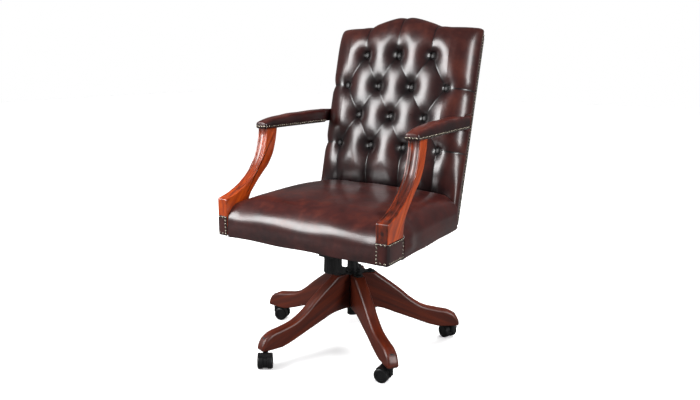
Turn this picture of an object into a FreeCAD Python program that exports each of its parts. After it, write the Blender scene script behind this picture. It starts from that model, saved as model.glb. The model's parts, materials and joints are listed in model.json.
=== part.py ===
import FreeCAD, Part
import math
import os

# Swivel office chair with a button-back leather seat, open wooden arms and a five-legged wooden base.
# Millimetres. +Z is up, the chair faces -Y, the sitter's left is +X.
# The origin is on the floor, on the axis of the column.

# ---- driving dimensions ----------------------------------------------------

# seat
SEAT_BOTTOM = 391.0          # underside of the wooden seat frame
SEAT_SKIRT = 385.5           # lowest edge of the leather round the frame
FRAME_TOP = 452.0            # top of the wooden seat frame
SEAT_CROWN = 524.0           # highest point of the cushion
FRONT_Y = -303.0             # front face of the seat and of the arm supports
SEAT_REAR_Y = 200.0          # back edge of the seat frame
FRONT_HALF = 313.4           # half the width over the arm supports at the front
REAR_HALF = 284.6            # the same measure at the back's foot
REAR_FOOT_Y = 236.0          # foot of the back's rear face
RAIL_WIDTH = 45.0            # seat frame rails
PADDING = 5.0                # leather and wadding over the rails
BOARD = 12.0                 # plywood under the seat

# back
LEAN = 14.0                  # degrees from upright
BACK_SHOULDER = 658.0        # length up the lean to the top corners
BACK_FOOT = -45.0            # where the back's slabs start, before they are trimmed level
BACK_CREST = 36.0            # rise of the shaped top over its corners
CREST_HALF = 185.0           # half the width of the shaped top
BACK_HALF = 281.0            # half the width at the fullest of the side padding
BACK_EDGE_HALF = 269.5       # half the width along the rear edge
BACK_DEPTH = 108.0           # thickness of the padded back
BACK_CORNER = 16.0           # rounding of the top corners
NAIL_STRIP = 14.0            # flat strip for the nails along the sides, ahead of the rear face
BUTTON_DEPTH = 95.0          # the buttons' distance from the rear face
BUTTON_PITCH = 131.6         # sideways spacing of the buttons
BUTTON_ROWS = (554.5, 445.2, 341.1, 235.0)   # lengths up the lean, from the top
PANEL = 3.0                  # outside back

# arms
ARM_THICK = 38.6
ARM_TOP = 712.0              # underside of the arm rails
PAD_FRONT_Y = -124.5
PAD_REAR_Y = 271.0
PAD_WIDTH = 44.0
PAD_NOTCH_Y = 196.0          # where the pad's inner half meets the front of the back
ARM_RAIL = 17.0              # thickness of the wooden arm rail
PATCH_DEPTH = 93.0           # leather corner patch, along the side
LEATHER = 2.0

# nails and buttons
NAIL_RADIUS = 4.4
NAIL_HEIGHT = 2.2
NAIL_PITCH = 10.2

# base
LEGS = 5
FIRST_LEG = 34.9             # degrees
LEG_THICK = 38.0
LEG_END = 362.0              # reach of a leg
LEG_ROOT = 27.0              # inner end of a leg, on the hub
LEG_UNDERSIDE = 51.4         # flat underside of a leg's foot
HUB_TOP = 242.0              # top of the legs at the hub
TUBE_RADIUS = 18.5
TUBE_BORE = 16.5
TUBE_BOTTOM = 93.0
FLANGE = 4.0

# column
SPINDLE_RADIUS = 12.7
RUNNING_FIT = 0.05           # radial clearance of what turns or slides
HEIGHT_TRAVEL = 90.0
NUT_TOP = 296.0
SPINDLE_TOP = 350.0
SPINDLE_BOTTOM = 106.0

# tilt mechanism
PIVOT_Y = -32.0
PIVOT_Z = 352.0
PIVOT_RADIUS = 6.0
HOUSING_HALF = 38.0
HOUSING_BOTTOM = 325.0
HOUSING_TOP = 360.0
KNOB_Y = -115.0
KNOB_BOTTOM = 270.0
KNOB_TOP = 323.0
KNOB_RADIUS = 30.0
BOLT_RADIUS = 5.0
PLATE_BOTTOM = 385.0
PLATE = 4.5

# castors
STEM_REACH = 341.0           # distance of a castor's swivel axis from the column
CASTOR_TRAIL = 24.0
WHEEL_RADIUS = 23.0
WHEEL_INNER = 8.4            # inner face of a wheel, from the castor's middle
WHEEL_OUTER = 23.4
STEM_RADIUS = 5.5
AXLE_RADIUS = 3.0
CASTOR_HEADINGS = (155.7, 238.0, 16.5, 306.1, 185.7)   # the way each castor trails, degrees

TOE_IN = math.degrees(math.atan((FRONT_HALF - REAR_HALF) / (REAR_FOOT_Y - FRONT_Y)))
UP = FreeCAD.Vector(0, 0, 1)
V = FreeCAD.Vector


# ---- small helpers ---------------------------------------------------------

def save(name, shape):
    """Write one sub-part."""
    shape.exportStep("parts/" + name + ".step")


def box(x0, x1, y0, y1, z0, z1):
    return Part.makeBox(x1 - x0, y1 - y0, z1 - z0, V(x0, y0, z0))


def rod(radius, start, end):
    """Cylinder between two points."""
    start = V(*start)
    end = V(*end)
    return Part.makeCylinder(radius, (end - start).Length, start, end - start)


def tube(radius, bore, bottom, top):
    """Upright tube on the column's axis."""
    return rod(radius, (0, 0, bottom), (0, 0, top)).cut(rod(bore, (0, 0, bottom - 1), (0, 0, top + 1)))


def spline(points):
    curve = Part.BSplineCurve()
    curve.interpolate([V(*p) for p in points])
    return curve.toShape()


def chain(points):
    """Straight edges through the points."""
    return [Part.makeLine(V(*a), V(*b)) for a, b in zip(points, points[1:])]


def prism(edges, direction):
    """Solid swept straight from the closed outline that the edges make."""
    wire = Part.Wire(Part.__sortEdges__(edges))
    return Part.Face(wire).extrude(V(*direction))


def turned(shape, degrees, centre=(0, 0, 0), axis=(0, 0, 1)):
    copy = shape.copy()
    copy.rotate(V(*centre), V(*axis), degrees)
    return copy


def mirrored(shape):
    """The other side's copy of a part."""
    return shape.mirror(V(0, 0, 0), V(1, 0, 0))


def round_corners(block, radius):
    """Round the upright edges of a block."""
    upright = [e for e in block.Edges if abs(e.tangentAt(e.FirstParameter).z) > 0.9]
    return block.makeFillet(radius, upright)


def group(solids):
    return Part.makeCompound(solids)


def arm_plane(y):
    """Half the chair's width over the arms at a distance y from the column."""
    return FRONT_HALF - (y - FRONT_Y) * math.tan(math.radians(TOE_IN))


def toed_in(shape):
    """Turn a part built square against x = FRONT_HALF so that it follows the seat's taper."""
    return turned(shape, TOE_IN, (FRONT_HALF, FRONT_Y, 0))


def leaned(shape):
    """Carry a part built upright behind y = 0 onto the leaning back: its y = 0 is the rear face."""
    copy = turned(shape, -LEAN, (0, 0, 0), (1, 0, 0))
    copy.translate(V(0, REAR_FOOT_Y, SEAT_BOTTOM))
    return copy


def nail(point, direction):
    """Domed nail head standing on a surface."""
    sphere = (NAIL_RADIUS ** 2 + NAIL_HEIGHT ** 2) / (2 * NAIL_HEIGHT)
    start = math.degrees(math.asin((sphere - NAIL_HEIGHT) / sphere))
    centre = V(*point) - V(*direction) * (sphere - NAIL_HEIGHT)
    return Part.makeSphere(sphere, centre, V(*direction), start, 90, 360)


def nail_line(start, end, direction):
    """Nails at an even pitch from one point to another, both ends included."""
    start = V(*start)
    run = V(*end) - start
    count = max(1, round(run.Length / NAIL_PITCH))
    return [nail(start + run * (i / count), direction) for i in range(count + 1)]


# ---- base ------------------------------------------------------------------

def leg():
    """Curved leg along +X: high root at the hub, a sweep down, and a flat-bottomed foot."""
    top = [(74, 0, HUB_TOP), (118, 0, 211), (160, 0, 179), (198, 0, 147), (238, 0, 123),
           (285, 0, 111), (322, 0, 104), (347, 0, 90), (359, 0, 72), (LEG_END, 0, 60)]
    under = [(290, 0, LEG_UNDERSIDE), (252, 0, 62), (200, 0, 81), (150, 0, 99), (100, 0, 117), (60, 0, 124)]
    edges = [spline(top), spline(under)]
    edges += chain([top[-1], (LEG_END, 0, LEG_UNDERSIDE), under[0]])
    edges += chain([under[-1], (LEG_ROOT, 0, 126), (LEG_ROOT, 0, HUB_TOP), top[0]])
    body = prism(edges, (0, LEG_THICK, 0))
    body.translate(V(0, -LEG_THICK / 2, 0))
    body = body.cut(rod(8.0, (STEM_REACH, 0, 50), (STEM_REACH, 0, 92)))
    return body.cut(rod(4.0, (58, 0, 190), (58, 0, HUB_TOP + 1)))


def hub():
    """Welded steel hub: the tube, a five-sided sleeve for the legs' roots, and a starred top plate."""
    corners = []
    for i in range(LEGS + 1):
        angle = math.radians(FIRST_LEG + 36 + i * 72)
        corner = LEG_ROOT / math.cos(math.radians(36))
        corners.append((corner * math.cos(angle), corner * math.sin(angle), 126))
    body = prism(chain(corners), (0, 0, HUB_TOP - 126))
    body = body.fuse(rod(TUBE_RADIUS, (0, 0, TUBE_BOTTOM), (0, 0, HUB_TOP + FLANGE)))
    body = body.fuse(rod(41, (0, 0, HUB_TOP), (0, 0, HUB_TOP + FLANGE)))
    for i in range(LEGS):
        ear = box(0, 60, -14, 14, HUB_TOP, HUB_TOP + FLANGE)
        ear = ear.fuse(rod(14, (60, 0, HUB_TOP), (60, 0, HUB_TOP + FLANGE)))
        ear = ear.cut(rod(4.0, (58, 0, HUB_TOP - 1), (58, 0, HUB_TOP + FLANGE + 1)))
        body = body.fuse(turned(ear, FIRST_LEG + i * 72))
    return body.removeSplitter().cut(rod(TUBE_BORE, (0, 0, TUBE_BOTTOM - 1), (0, 0, HUB_TOP + FLANGE + 1)))


def hexagon(across, bottom, top, x=0, y=0):
    """Upright hexagonal prism, by its width across the flats."""
    corner = across / 2 / math.cos(math.radians(30))
    points = []
    for i in range(7):
        angle = math.radians(60 * i)
        points.append((x + corner * math.cos(angle), y + corner * math.sin(angle), bottom))
    return prism(chain(points), (0, 0, top - bottom))


def leg_bolt():
    head = hexagon(13, HUB_TOP + FLANGE, HUB_TOP + FLANGE + 5.3, 58)
    return head.fuse(rod(4.0, (58, 0, 190), (58, 0, HUB_TOP + FLANGE))).removeSplitter()


def castor_socket():
    """Steel sleeve driven into a leg's foot, with a lip under it."""
    sleeve = rod(8.0, (STEM_REACH, 0, LEG_UNDERSIDE), (STEM_REACH, 0, 92))
    lip = rod(10.5, (STEM_REACH, 0, LEG_UNDERSIDE - 0.8), (STEM_REACH, 0, LEG_UNDERSIDE))
    bore = rod(STEM_RADIUS + RUNNING_FIT, (STEM_REACH, 0, 50), (STEM_REACH, 0, 90))
    return sleeve.fuse(lip).removeSplitter().cut(bore)


def make_base():
    plain_leg = leg()
    for i in range(LEGS):
        save("leg_" + str(i + 1), turned(plain_leg, FIRST_LEG + i * 72))
    save("hub", hub())
    save("leg_bolts", group([turned(leg_bolt(), FIRST_LEG + i * 72) for i in range(LEGS)]))
    save("castor_sockets", group([turned(castor_socket(), FIRST_LEG + i * 72) for i in range(LEGS)]))
    bush_bottom = SPINDLE_BOTTOM + HEIGHT_TRAVEL + 0.3
    save("hub_bush", tube(TUBE_BORE, SPINDLE_RADIUS + RUNNING_FIT, bush_bottom, HUB_TOP + FLANGE))


# ---- column ----------------------------------------------------------------

def spindle():
    """Threaded column: its thread is a row of rings, 5 mm apart, under the plain top."""
    body = rod(SPINDLE_RADIUS, (0, 0, SPINDLE_BOTTOM), (0, 0, SPINDLE_TOP))
    ring = Part.makeTorus(SPINDLE_RADIUS + 0.4, 1.3)
    grooves = []
    for i in range(32):
        groove = ring.copy()
        groove.translate(V(0, 0, SPINDLE_BOTTOM + 14 + 5 * i))
        grooves.append(groove)
    return body.cut(grooves)


def height_nut():
    """Tall tapered hand nut that stands on the hub and lifts the spindle."""
    bottom = HUB_TOP + FLANGE + 0.4
    body = rod(24, (0, 0, bottom), (0, 0, bottom + 8))
    cone = Part.makeCone(19.5, 17.0, NUT_TOP - bottom - 8, V(0, 0, bottom + 8), UP)
    body = body.fuse(cone)
    for i in range(12):
        notch = turned(rod(2.4, (25, 0, bottom - 1), (25, 0, bottom + 9)), 30 * i)
        body = body.cut(notch)
    return body.cut(rod(SPINDLE_RADIUS + RUNNING_FIT, (0, 0, bottom - 1), (0, 0, NUT_TOP + 1)))


def make_column():
    save("spindle", spindle())
    washer = rod(15.5, (0, 0, SPINDLE_BOTTOM - 3), (0, 0, SPINDLE_BOTTOM))
    save("spindle_stop", washer.fuse(hexagon(13, SPINDLE_BOTTOM - 8, SPINDLE_BOTTOM - 3)).removeSplitter())
    save("height_nut", height_nut())


# ---- swivel and tilt mechanism ---------------------------------------------

def tilt_housing():
    """Pressed steel tray with the spindle's socket, the tilt pin's bores and the tension bolt's hole."""
    wall = 3.0
    front = -150.0
    rear = 62.0
    body = round_corners(box(-HOUSING_HALF, HOUSING_HALF, front, rear, HOUSING_BOTTOM, HOUSING_TOP), 14)
    hollow = box(-HOUSING_HALF + wall, HOUSING_HALF - wall, front + wall, rear - wall,
                 HOUSING_BOTTOM + wall, HOUSING_TOP + 1)
    body = body.cut(round_corners(hollow, 11))
    body = body.fuse(rod(22, (0, 0, 297), (0, 0, SPINDLE_TOP + 4)))
    body = body.fuse(rod(11, (-HOUSING_HALF + 1, PIVOT_Y, PIVOT_Z - 6), (-28, PIVOT_Y, PIVOT_Z - 6)))
    body = body.fuse(rod(11, (28, PIVOT_Y, PIVOT_Z - 6), (HOUSING_HALF - 1, PIVOT_Y, PIVOT_Z - 6)))
    body = body.removeSplitter()
    body = body.cut(rod(16, (0, 0, 296), (0, 0, SPINDLE_TOP + 0.3)))
    body = body.cut(rod(BOLT_RADIUS, (0, KNOB_Y, HOUSING_BOTTOM - 1), (0, KNOB_Y, HOUSING_BOTTOM + 5)))
    return body.cut(rod(PIVOT_RADIUS, (-60, PIVOT_Y, PIVOT_Z), (60, PIVOT_Y, PIVOT_Z)))


def tilt_pin():
    """Pin that the seat rocks on, with a flat head and a clip."""
    body = rod(PIVOT_RADIUS, (-46, PIVOT_Y, PIVOT_Z), (46, PIVOT_Y, PIVOT_Z))
    body = body.fuse(rod(9, (44.6, PIVOT_Y, PIVOT_Z), (47.6, PIVOT_Y, PIVOT_Z)))
    return body.fuse(rod(8, (-47, PIVOT_Y, PIVOT_Z), (-45, PIVOT_Y, PIVOT_Z))).removeSplitter()


def tension_bolt():
    """Long bolt with the spring's washer on top."""
    body = rod(BOLT_RADIUS, (0, KNOB_Y, KNOB_BOTTOM + 12), (0, KNOB_Y, 436))
    body = body.fuse(rod(21, (0, KNOB_Y, 432), (0, KNOB_Y, 435)))
    return body.fuse(hexagon(17, 435, 441, 0, KNOB_Y)).removeSplitter()


def tension_knob():
    """Ribbed cup-shaped knob, a little wider at its foot."""
    foot = V(0, KNOB_Y, KNOB_BOTTOM)
    body = Part.makeCone(KNOB_RADIUS, KNOB_RADIUS - 1.5, KNOB_TOP - KNOB_BOTTOM, foot, UP)
    rim = [e for e in body.Edges if e.BoundBox.ZMax < KNOB_BOTTOM + 1]
    body = body.makeFillet(3.0, rim)
    flutes = []
    for i in range(20):
        flute = rod(2.2, (KNOB_RADIUS + 1, KNOB_Y, KNOB_BOTTOM + 4), (KNOB_RADIUS, KNOB_Y, KNOB_TOP + 1))
        flutes.append(turned(flute, 18 * i, (0, KNOB_Y, 0)))
    body = body.cut(flutes)
    return body.cut(rod(BOLT_RADIUS + RUNNING_FIT, (0, KNOB_Y, KNOB_BOTTOM + 10), (0, KNOB_Y, KNOB_TOP + 1)))


def tilt_spring():
    """Coil spring between the seat plate and the bolt's washer."""
    wire = 2.3
    bottom = PLATE_BOTTOM + PLATE + wire + 0.1
    height = 432 - wire - 0.1 - bottom
    path = Part.makeHelix(height / 4.0, height, 16.0)
    profile = Part.Wire(Part.makeCircle(wire, V(16, 0, 0), V(0, 1, 0)))
    coil = Part.Wire(path).makePipeShell([profile], True, True)
    coil.translate(V(0, KNOB_Y, bottom))
    return coil


def seat_plate():
    """Steel plate under the seat, with a cheek either side of the housing and a slot for the tension bolt."""
    top = PLATE_BOTTOM + PLATE
    body = round_corners(box(-105, 105, -150, 150, PLATE_BOTTOM, top), 16)
    slot = box(-8, 8, KNOB_Y - 12, KNOB_Y, PLATE_BOTTOM - 1, top + 1)
    for end in (KNOB_Y - 12, KNOB_Y):
        slot = slot.fuse(rod(8, (0, end, PLATE_BOTTOM - 1), (0, end, top + 1)))
    body = body.cut(slot)
    for side in (-1, 1):
        inner = HOUSING_HALF + 1.2
        cheek = box(min(side * inner, side * (inner + 4)), max(side * inner, side * (inner + 4)),
                    PIVOT_Y - 34, PIVOT_Y + 34, PIVOT_Z, PLATE_BOTTOM + 1)
        boss = rod(16, (side * inner, PIVOT_Y, PIVOT_Z), (side * (inner + 4), PIVOT_Y, PIVOT_Z))
        body = body.fuse(cheek).fuse(boss)
    body = body.removeSplitter()
    body = body.cut(rod(PIVOT_RADIUS + RUNNING_FIT, (-60, PIVOT_Y, PIVOT_Z), (60, PIVOT_Y, PIVOT_Z)))
    for x in (-85, 85):
        for y in (-125, 0, 125):
            body = body.cut(rod(3.0, (x, y, PLATE_BOTTOM - 1), (x, y, top + 1)))
    return body


def make_mechanism():
    save("tilt_housing", tilt_housing())
    save("swivel_bush", tube(16, SPINDLE_RADIUS + RUNNING_FIT, 299, 345))
    save("tilt_pin", tilt_pin())
    save("tension_bolt", tension_bolt())
    save("tilt_spring", tilt_spring())
    save("tension_knob", tension_knob())
    save("seat_plate", seat_plate())


# ---- castors ---------------------------------------------------------------

def castor_rod(radius, start, end):
    """Cylinder on the castor's axle line, between two distances from its middle."""
    return rod(radius, (CASTOR_TRAIL, start, WHEEL_RADIUS), (CASTOR_TRAIL, end, WHEEL_RADIUS))


def castor_hood():
    """Body of a twin-wheel castor, pointing along +X: web, stem boss and curved hood over the wheels."""
    trail = CASTOR_TRAIL
    half = WHEEL_INNER - 0.6
    web = castor_rod(WHEEL_RADIUS - 3, -half, half)
    boss = rod(half, (0, 0, WHEEL_RADIUS + 2), (0, 0, 49.8))
    neck = box(0, trail, -half, half, WHEEL_RADIUS + 1, 46)
    body = web.fuse(boss.fuse(neck))
    shell = castor_rod(WHEEL_RADIUS + 3, -WHEEL_OUTER + 1, WHEEL_OUTER - 1)
    shell = shell.cut(castor_rod(WHEEL_RADIUS + 0.8, -30, 30))
    sector = box(-10, trail + 14, -30, 30, WHEEL_RADIUS + 11, 60)
    shell = shell.common(sector)
    bridge = castor_rod(WHEEL_RADIUS + 2, -half, half)
    body = body.fuse(shell).fuse(bridge.common(sector)).removeSplitter()
    body = body.cut(rod(STEM_RADIUS, (0, 0, WHEEL_RADIUS + 6), (0, 0, 60)))
    return body.cut(castor_rod(AXLE_RADIUS, -30, 30))


def castor_pins():
    """Steel stem and axle of one castor."""
    stem = rod(STEM_RADIUS, (0, 0, WHEEL_RADIUS + 6), (0, 0, 88))
    axle = castor_rod(AXLE_RADIUS, -WHEEL_OUTER + 4, WHEEL_OUTER - 4)
    return [stem, axle]


def castor_wheel():
    """Wheel on the castor's +Y side: rounded tread, dished outer face, blind bore."""
    wheel = castor_rod(WHEEL_RADIUS, WHEEL_INNER, WHEEL_OUTER)
    outer = [e for e in wheel.Edges if e.BoundBox.YMin > WHEEL_OUTER - 0.1]
    wheel = wheel.makeFillet(5.0, outer)
    wheel = wheel.cut(castor_rod(13, WHEEL_OUTER - 1.4, WHEEL_OUTER + 1))
    return wheel.cut(castor_rod(AXLE_RADIUS + RUNNING_FIT, 0, WHEEL_OUTER - 3.5))


def make_castors():
    hood = castor_hood()
    pins = castor_pins()
    left = castor_wheel()
    right = left.mirror(V(0, 0, 0), V(0, 1, 0))
    for i, heading in enumerate(CASTOR_HEADINGS):
        angle = math.radians(FIRST_LEG + i * 72)
        place = V(STEM_REACH * math.cos(angle), STEM_REACH * math.sin(angle), 0)
        name = "castor_" + str(i + 1)
        pieces = {"_hood": hood, "_pins": group(pins), "_wheel_left": left, "_wheel_right": right}
        for ending, shape in pieces.items():
            copy = turned(shape, heading)
            copy.translate(place)
            save(name + ending, copy)


# ---- arms ------------------------------------------------------------------

def arm_support():
    """Show-wood arm support on the sitter's left: a swept stump from the seat's corner up to the arm rail."""
    front = [(-303, 503), (-300, 508), (-283, 513.5), (-263, 519), (-243, 527), (-217, 540), (-188, 560),
             (-163, 583), (-144, 607), (-131, 633), (-121, 665), (-115, 690), (-113, ARM_TOP)]
    rear = [(-63, ARM_TOP), (-65, 697), (-71, 669), (-84, 631), (-108, 595), (-128, 577), (-154, 553),
            (-175, 531), (-191, 513), (-203, 491), (-208, 473), (FRONT_Y + PATCH_DEPTH, FRAME_TOP)]
    x = FRONT_HALF - ARM_THICK
    front = [(x, y, z) for y, z in front]
    rear = [(x, y, z) for y, z in rear]
    edges = [spline(front), spline(rear)]
    edges += chain([front[-1], rear[0]])
    edges += chain([rear[-1], (x, FRONT_Y + PATCH_DEPTH, SEAT_BOTTOM), (x, FRONT_Y, SEAT_BOTTOM), front[0]])
    return toed_in(prism(edges, (ARM_THICK, 0, 0)))


def corner_patch():
    """Leather wrapped round the support's foot, over its front and its outer side."""
    inner_x = FRONT_HALF - ARM_THICK
    rear_y = FRONT_Y + PATCH_DEPTH
    outer = box(inner_x, FRONT_HALF, FRONT_Y, rear_y, SEAT_BOTTOM, FRAME_TOP)
    inner = box(inner_x - 1, FRONT_HALF - LEATHER, FRONT_Y + LEATHER, rear_y + 1,
                SEAT_BOTTOM - 1, FRAME_TOP + 1)
    return toed_in(outer.cut(inner))


def arm_block(inset, bottom, top_points):
    """Length of arm rail or pad: a side profile between the support and the back, a set width across."""
    x = FRONT_HALF - PAD_WIDTH + inset
    profile = [(x, y, z) for y, z in top_points]
    front_y = profile[0][1]
    rear_y = profile[-1][1]
    edges = [spline(profile)]
    edges += chain([profile[-1], (x, rear_y, bottom), (x, front_y, bottom), profile[0]])
    return toed_in(prism(edges, (PAD_WIDTH - 2 * inset, 0, 0)))


def arm_rail(back):
    """Wooden rail inside the pad, notched at its rear end to lie against the back's stile."""
    rail = toed_in(box(FRONT_HALF - PAD_WIDTH + 4, FRONT_HALF - 4, PAD_FRONT_Y + 4, PAD_REAR_Y - 4,
                       ARM_TOP, ARM_TOP + ARM_RAIL))
    return rail.cut(back)


def arm_pad(back, rail):
    """Leather pad over the rail, thin at the front and fuller along its middle, notched like the rail."""
    top = [(PAD_FRONT_Y, 733), (-80, 743), (-20, 750), (60, 754), (150, 756), (PAD_REAR_Y, 753)]
    pad = arm_block(0.0, ARM_TOP, top)
    rounding = [e for e in pad.Edges if e.BoundBox.ZMin > ARM_TOP + 15 and e.Length > 200]
    pad = pad.makeFillet(12.0, rounding)
    return pad.cut(rail).cut(back)


def arm_nails():
    """Nails along the pad's lower edge: outside, front and inside."""
    z = ARM_TOP + 8
    outer = FRONT_HALF
    inner = FRONT_HALF - PAD_WIDTH
    front = PAD_FRONT_Y
    heads = nail_line((outer, front + 5, z), (outer, PAD_REAR_Y - 8, z), (1, 0, 0))
    heads += nail_line((inner, front + 5, z), (inner, PAD_NOTCH_Y - 12, z), (-1, 0, 0))
    heads += nail_line((inner + 6, front, z), (outer - 6, front, z), (0, -1, 0))
    return [toed_in(head) for head in heads]


def patch_nails():
    """Nails round the two visible faces of a corner patch."""
    low = SEAT_BOTTOM + 5.5
    high = FRAME_TOP - 5.5
    outer = FRONT_HALF
    inner = FRONT_HALF - ARM_THICK
    front = FRONT_Y
    rear = FRONT_Y + PATCH_DEPTH
    heads = nail_line((outer, front + 6, low), (outer, rear - 6, low), (1, 0, 0))
    heads += nail_line((outer, front + 6, high), (outer, rear - 6, high), (1, 0, 0))
    heads += nail_line((outer, rear - 6, low + 10), (outer, rear - 6, high - 10), (1, 0, 0))
    heads += nail_line((inner + 6, front, low), (outer - 6, front, low), (0, -1, 0))
    heads += nail_line((inner + 6, front, high), (outer - 6, front, high), (0, -1, 0))
    heads += nail_line((inner + 6, front, low + 10), (inner + 6, front, high - 10), (0, -1, 0))
    return [toed_in(head) for head in heads]


# ---- seat and back ---------------------------------------------------------

def taper_prism(inset, front_y, rear_y, bottom, top):
    """Upright prism with the seat's tapered plan, drawn in from the arm line."""
    points = [(-arm_plane(front_y) + inset, front_y, bottom), (arm_plane(front_y) - inset, front_y, bottom),
              (arm_plane(rear_y) - inset, rear_y, bottom), (-arm_plane(rear_y) + inset, rear_y, bottom)]
    return prism(chain(points + points[:1]), (0, 0, top - bottom))


def seat_frame(supports):
    body = taper_prism(PADDING, FRONT_Y + PADDING, SEAT_REAR_Y, SEAT_BOTTOM, FRAME_TOP)
    inset = PADDING + RAIL_WIDTH
    rear_y = SEAT_REAR_Y - RAIL_WIDTH
    body = body.cut(taper_prism(inset, FRONT_Y + inset, rear_y, SEAT_BOTTOM - 1, FRAME_TOP + 1))
    for support in supports:
        body = body.cut(support)
    return body


def seat_board():
    """Plywood let into the frame's underside: the mechanism is screwed to it."""
    inset = PADDING + RAIL_WIDTH + 0.2
    rear_y = SEAT_REAR_Y - RAIL_WIDTH - 0.2
    body = taper_prism(inset, FRONT_Y + inset, rear_y, SEAT_BOTTOM, SEAT_BOTTOM + BOARD)
    hole = box(-26, 26, KNOB_Y - 14, KNOB_Y, SEAT_BOTTOM - 1, SEAT_BOTTOM + BOARD + 1)
    for end in (KNOB_Y - 14, KNOB_Y):
        hole = hole.fuse(rod(26, (0, end, SEAT_BOTTOM - 1), (0, end, SEAT_BOTTOM + BOARD + 1)))
    body = body.cut(hole)
    for x in (-85, 85):
        for y in (-125, 0, 125):
            body = body.cut(rod(3.0, (x, y, SEAT_BOTTOM - 1), (x, y, SEAT_BOTTOM + BOARD + 1)))
    return body


def dust_cover():
    """Black cloth under the seat, cut round the mechanism's plate."""
    body = taper_prism(16, FRONT_Y + 16, SEAT_REAR_Y, SEAT_BOTTOM - 1, SEAT_BOTTOM)
    return body.cut(box(-108, 108, -153, 153, SEAT_BOTTOM - 2, SEAT_BOTTOM + 1))


def seat_cushion(hard_parts):
    """Upholstered seat: crowned top, rolled front edge, and a leather skirt down over the frame."""
    plan = taper_prism(0, FRONT_Y, SEAT_REAR_Y, SEAT_SKIRT, 540)
    wide = 700
    side = [(-wide / 2, FRONT_Y, 455), (-wide / 2, -296, 482), (-wide / 2, -262, 507), (-wide / 2, -170, 519),
            (-wide / 2, -30, SEAT_CROWN), (-wide / 2, 110, 518), (-wide / 2, SEAT_REAR_Y, 508)]
    edges = [spline(side)]
    edges += chain([side[-1], (-wide / 2, SEAT_REAR_Y, 300), (-wide / 2, FRONT_Y, 300), side[0]])
    body = plan.common(prism(edges, (wide, 0, 0)))
    half = [(FRONT_HALF, 458), (303, 486), (270, 503), (160, 516)]
    cross = [(-x, -400, z) for x, z in half] + [(0, -400, SEAT_CROWN)]
    cross += [(x, -400, z) for x, z in reversed(half)]
    edges = [spline(cross)]
    edges += chain([cross[-1], (FRONT_HALF, -400, 300), (-FRONT_HALF, -400, 300), cross[0]])
    body = body.common(prism(edges, (0, 800, 0)))
    inside = taper_prism(PADDING, FRONT_Y + PADDING, SEAT_REAR_Y + 1, SEAT_SKIRT - 1, FRAME_TOP)
    body = body.cut(inside)
    for part in hard_parts:
        body = body.cut(part)
    return body


def crest(half_x):
    """Height of the back's outline over its corners at a distance from the middle."""
    if abs(half_x) >= CREST_HALF:
        return 0.0
    return BACK_CREST * math.cos(math.pi * half_x / (2 * CREST_HALF)) ** 2


def back_outline(half, top, corner, depth, start=BACK_FOOT):
    """Upright slab with the back's outline: straight sides, rounded corners and a shaped top."""
    side_top = top - corner
    points = []
    steps = 12
    for i in range(steps + 1):
        x = CREST_HALF * (1 - 2 * i / steps)
        points.append((x, 0, top + crest(x)))
    edges = [spline(points)]
    edges += chain([(CREST_HALF, 0, top), (half - corner, 0, top)])
    edges += chain([(-half + corner, 0, top), (-CREST_HALF, 0, top)])
    for side in (-1, 1):
        bend = math.sqrt(0.5) * corner
        middle = (side * (half - corner + bend), 0, side_top + bend)
        arc = Part.Arc(V(side * (half - corner), 0, top), V(*middle), V(side * half, 0, side_top))
        edges.append(arc.toShape())
        edges += chain([(side * half, 0, side_top), (side * half, 0, start)])
    edges += chain([(half, 0, start), (-half, 0, start)])
    return prism(edges, (0, -depth, 0))


def back_envelope():
    """Padded back, built upright: the outline, drawn in to its rear edge and rolled over at its front."""
    body = back_outline(BACK_HALF, BACK_SHOULDER, BACK_CORNER, BACK_DEPTH + 4)
    half = BACK_HALF
    edge = BACK_EDGE_HALF
    low = BACK_FOOT - 1
    section = [(edge, -NAIL_STRIP, low), (edge + 8, -32, low), (half, -54, low), (half - 7, -80, low),
               (half - 36, -98, low), (half - 86, -106, low), (0, -BACK_DEPTH, low)]
    mirror = [(-x, y, z) for x, y, z in reversed(section[:-1])]
    edges = [spline(section + mirror)]
    edges += chain([mirror[-1], (-edge, 0, low), (edge, 0, low), section[0]])
    body = body.common(prism(edges, (0, 0, 800)))
    top = BACK_SHOULDER + BACK_CREST
    side = [(-350, -BACK_DEPTH, top - 90), (-350, -98, top - 34), (-350, -70, top - 7), (-350, -30, top + 1),
            (-350, 0, top - 10)]
    edges = [spline(side)]
    front = -BACK_DEPTH - 5
    edges += chain([side[-1], (-350, 0, low), (-350, front, low), (-350, front, top - 90), side[0]])
    return body.common(prism(edges, (700, 0, 0)))


def level_foot(shape, bottom):
    """Trim a leaned part level at its foot."""
    return shape.cut(box(-400, 400, -400, 500, bottom - 200, bottom))


def back_frame():
    """Hardwood frame of the back, built upright: stiles, shaped top rail, arm rail and foot rail."""
    body = back_outline(BACK_EDGE_HALF - 8, BACK_SHOULDER - 14, BACK_CORNER, 30, 0)
    body.translate(V(0, -PANEL - 1, 0))
    windows = box(-200, 200, -60, 10, 60, 300)
    windows = windows.fuse(box(-200, 200, -60, 10, 350, BACK_SHOULDER - 74))
    return body.cut(windows)


def button_places():
    """Across and up the lean for each button: three and four to a row in turn."""
    places = []
    for row, up in enumerate(BUTTON_ROWS):
        count = 3 if row % 2 == 0 else 4
        for i in range(count):
            places.append(((i - (count - 1) / 2) * BUTTON_PITCH, up))
    return places


def button(x, up):
    """Covered button, seen from the front as a low dome."""
    body = rod(8, (x, -BUTTON_DEPTH, up), (x, -BUTTON_DEPTH - 3, up))
    dome = Part.makeSphere(12.2, V(x, -BUTTON_DEPTH + 6.2, up), V(0, -1, 0), 48.9, 90, 360)
    return body.fuse(dome).removeSplitter()


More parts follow.
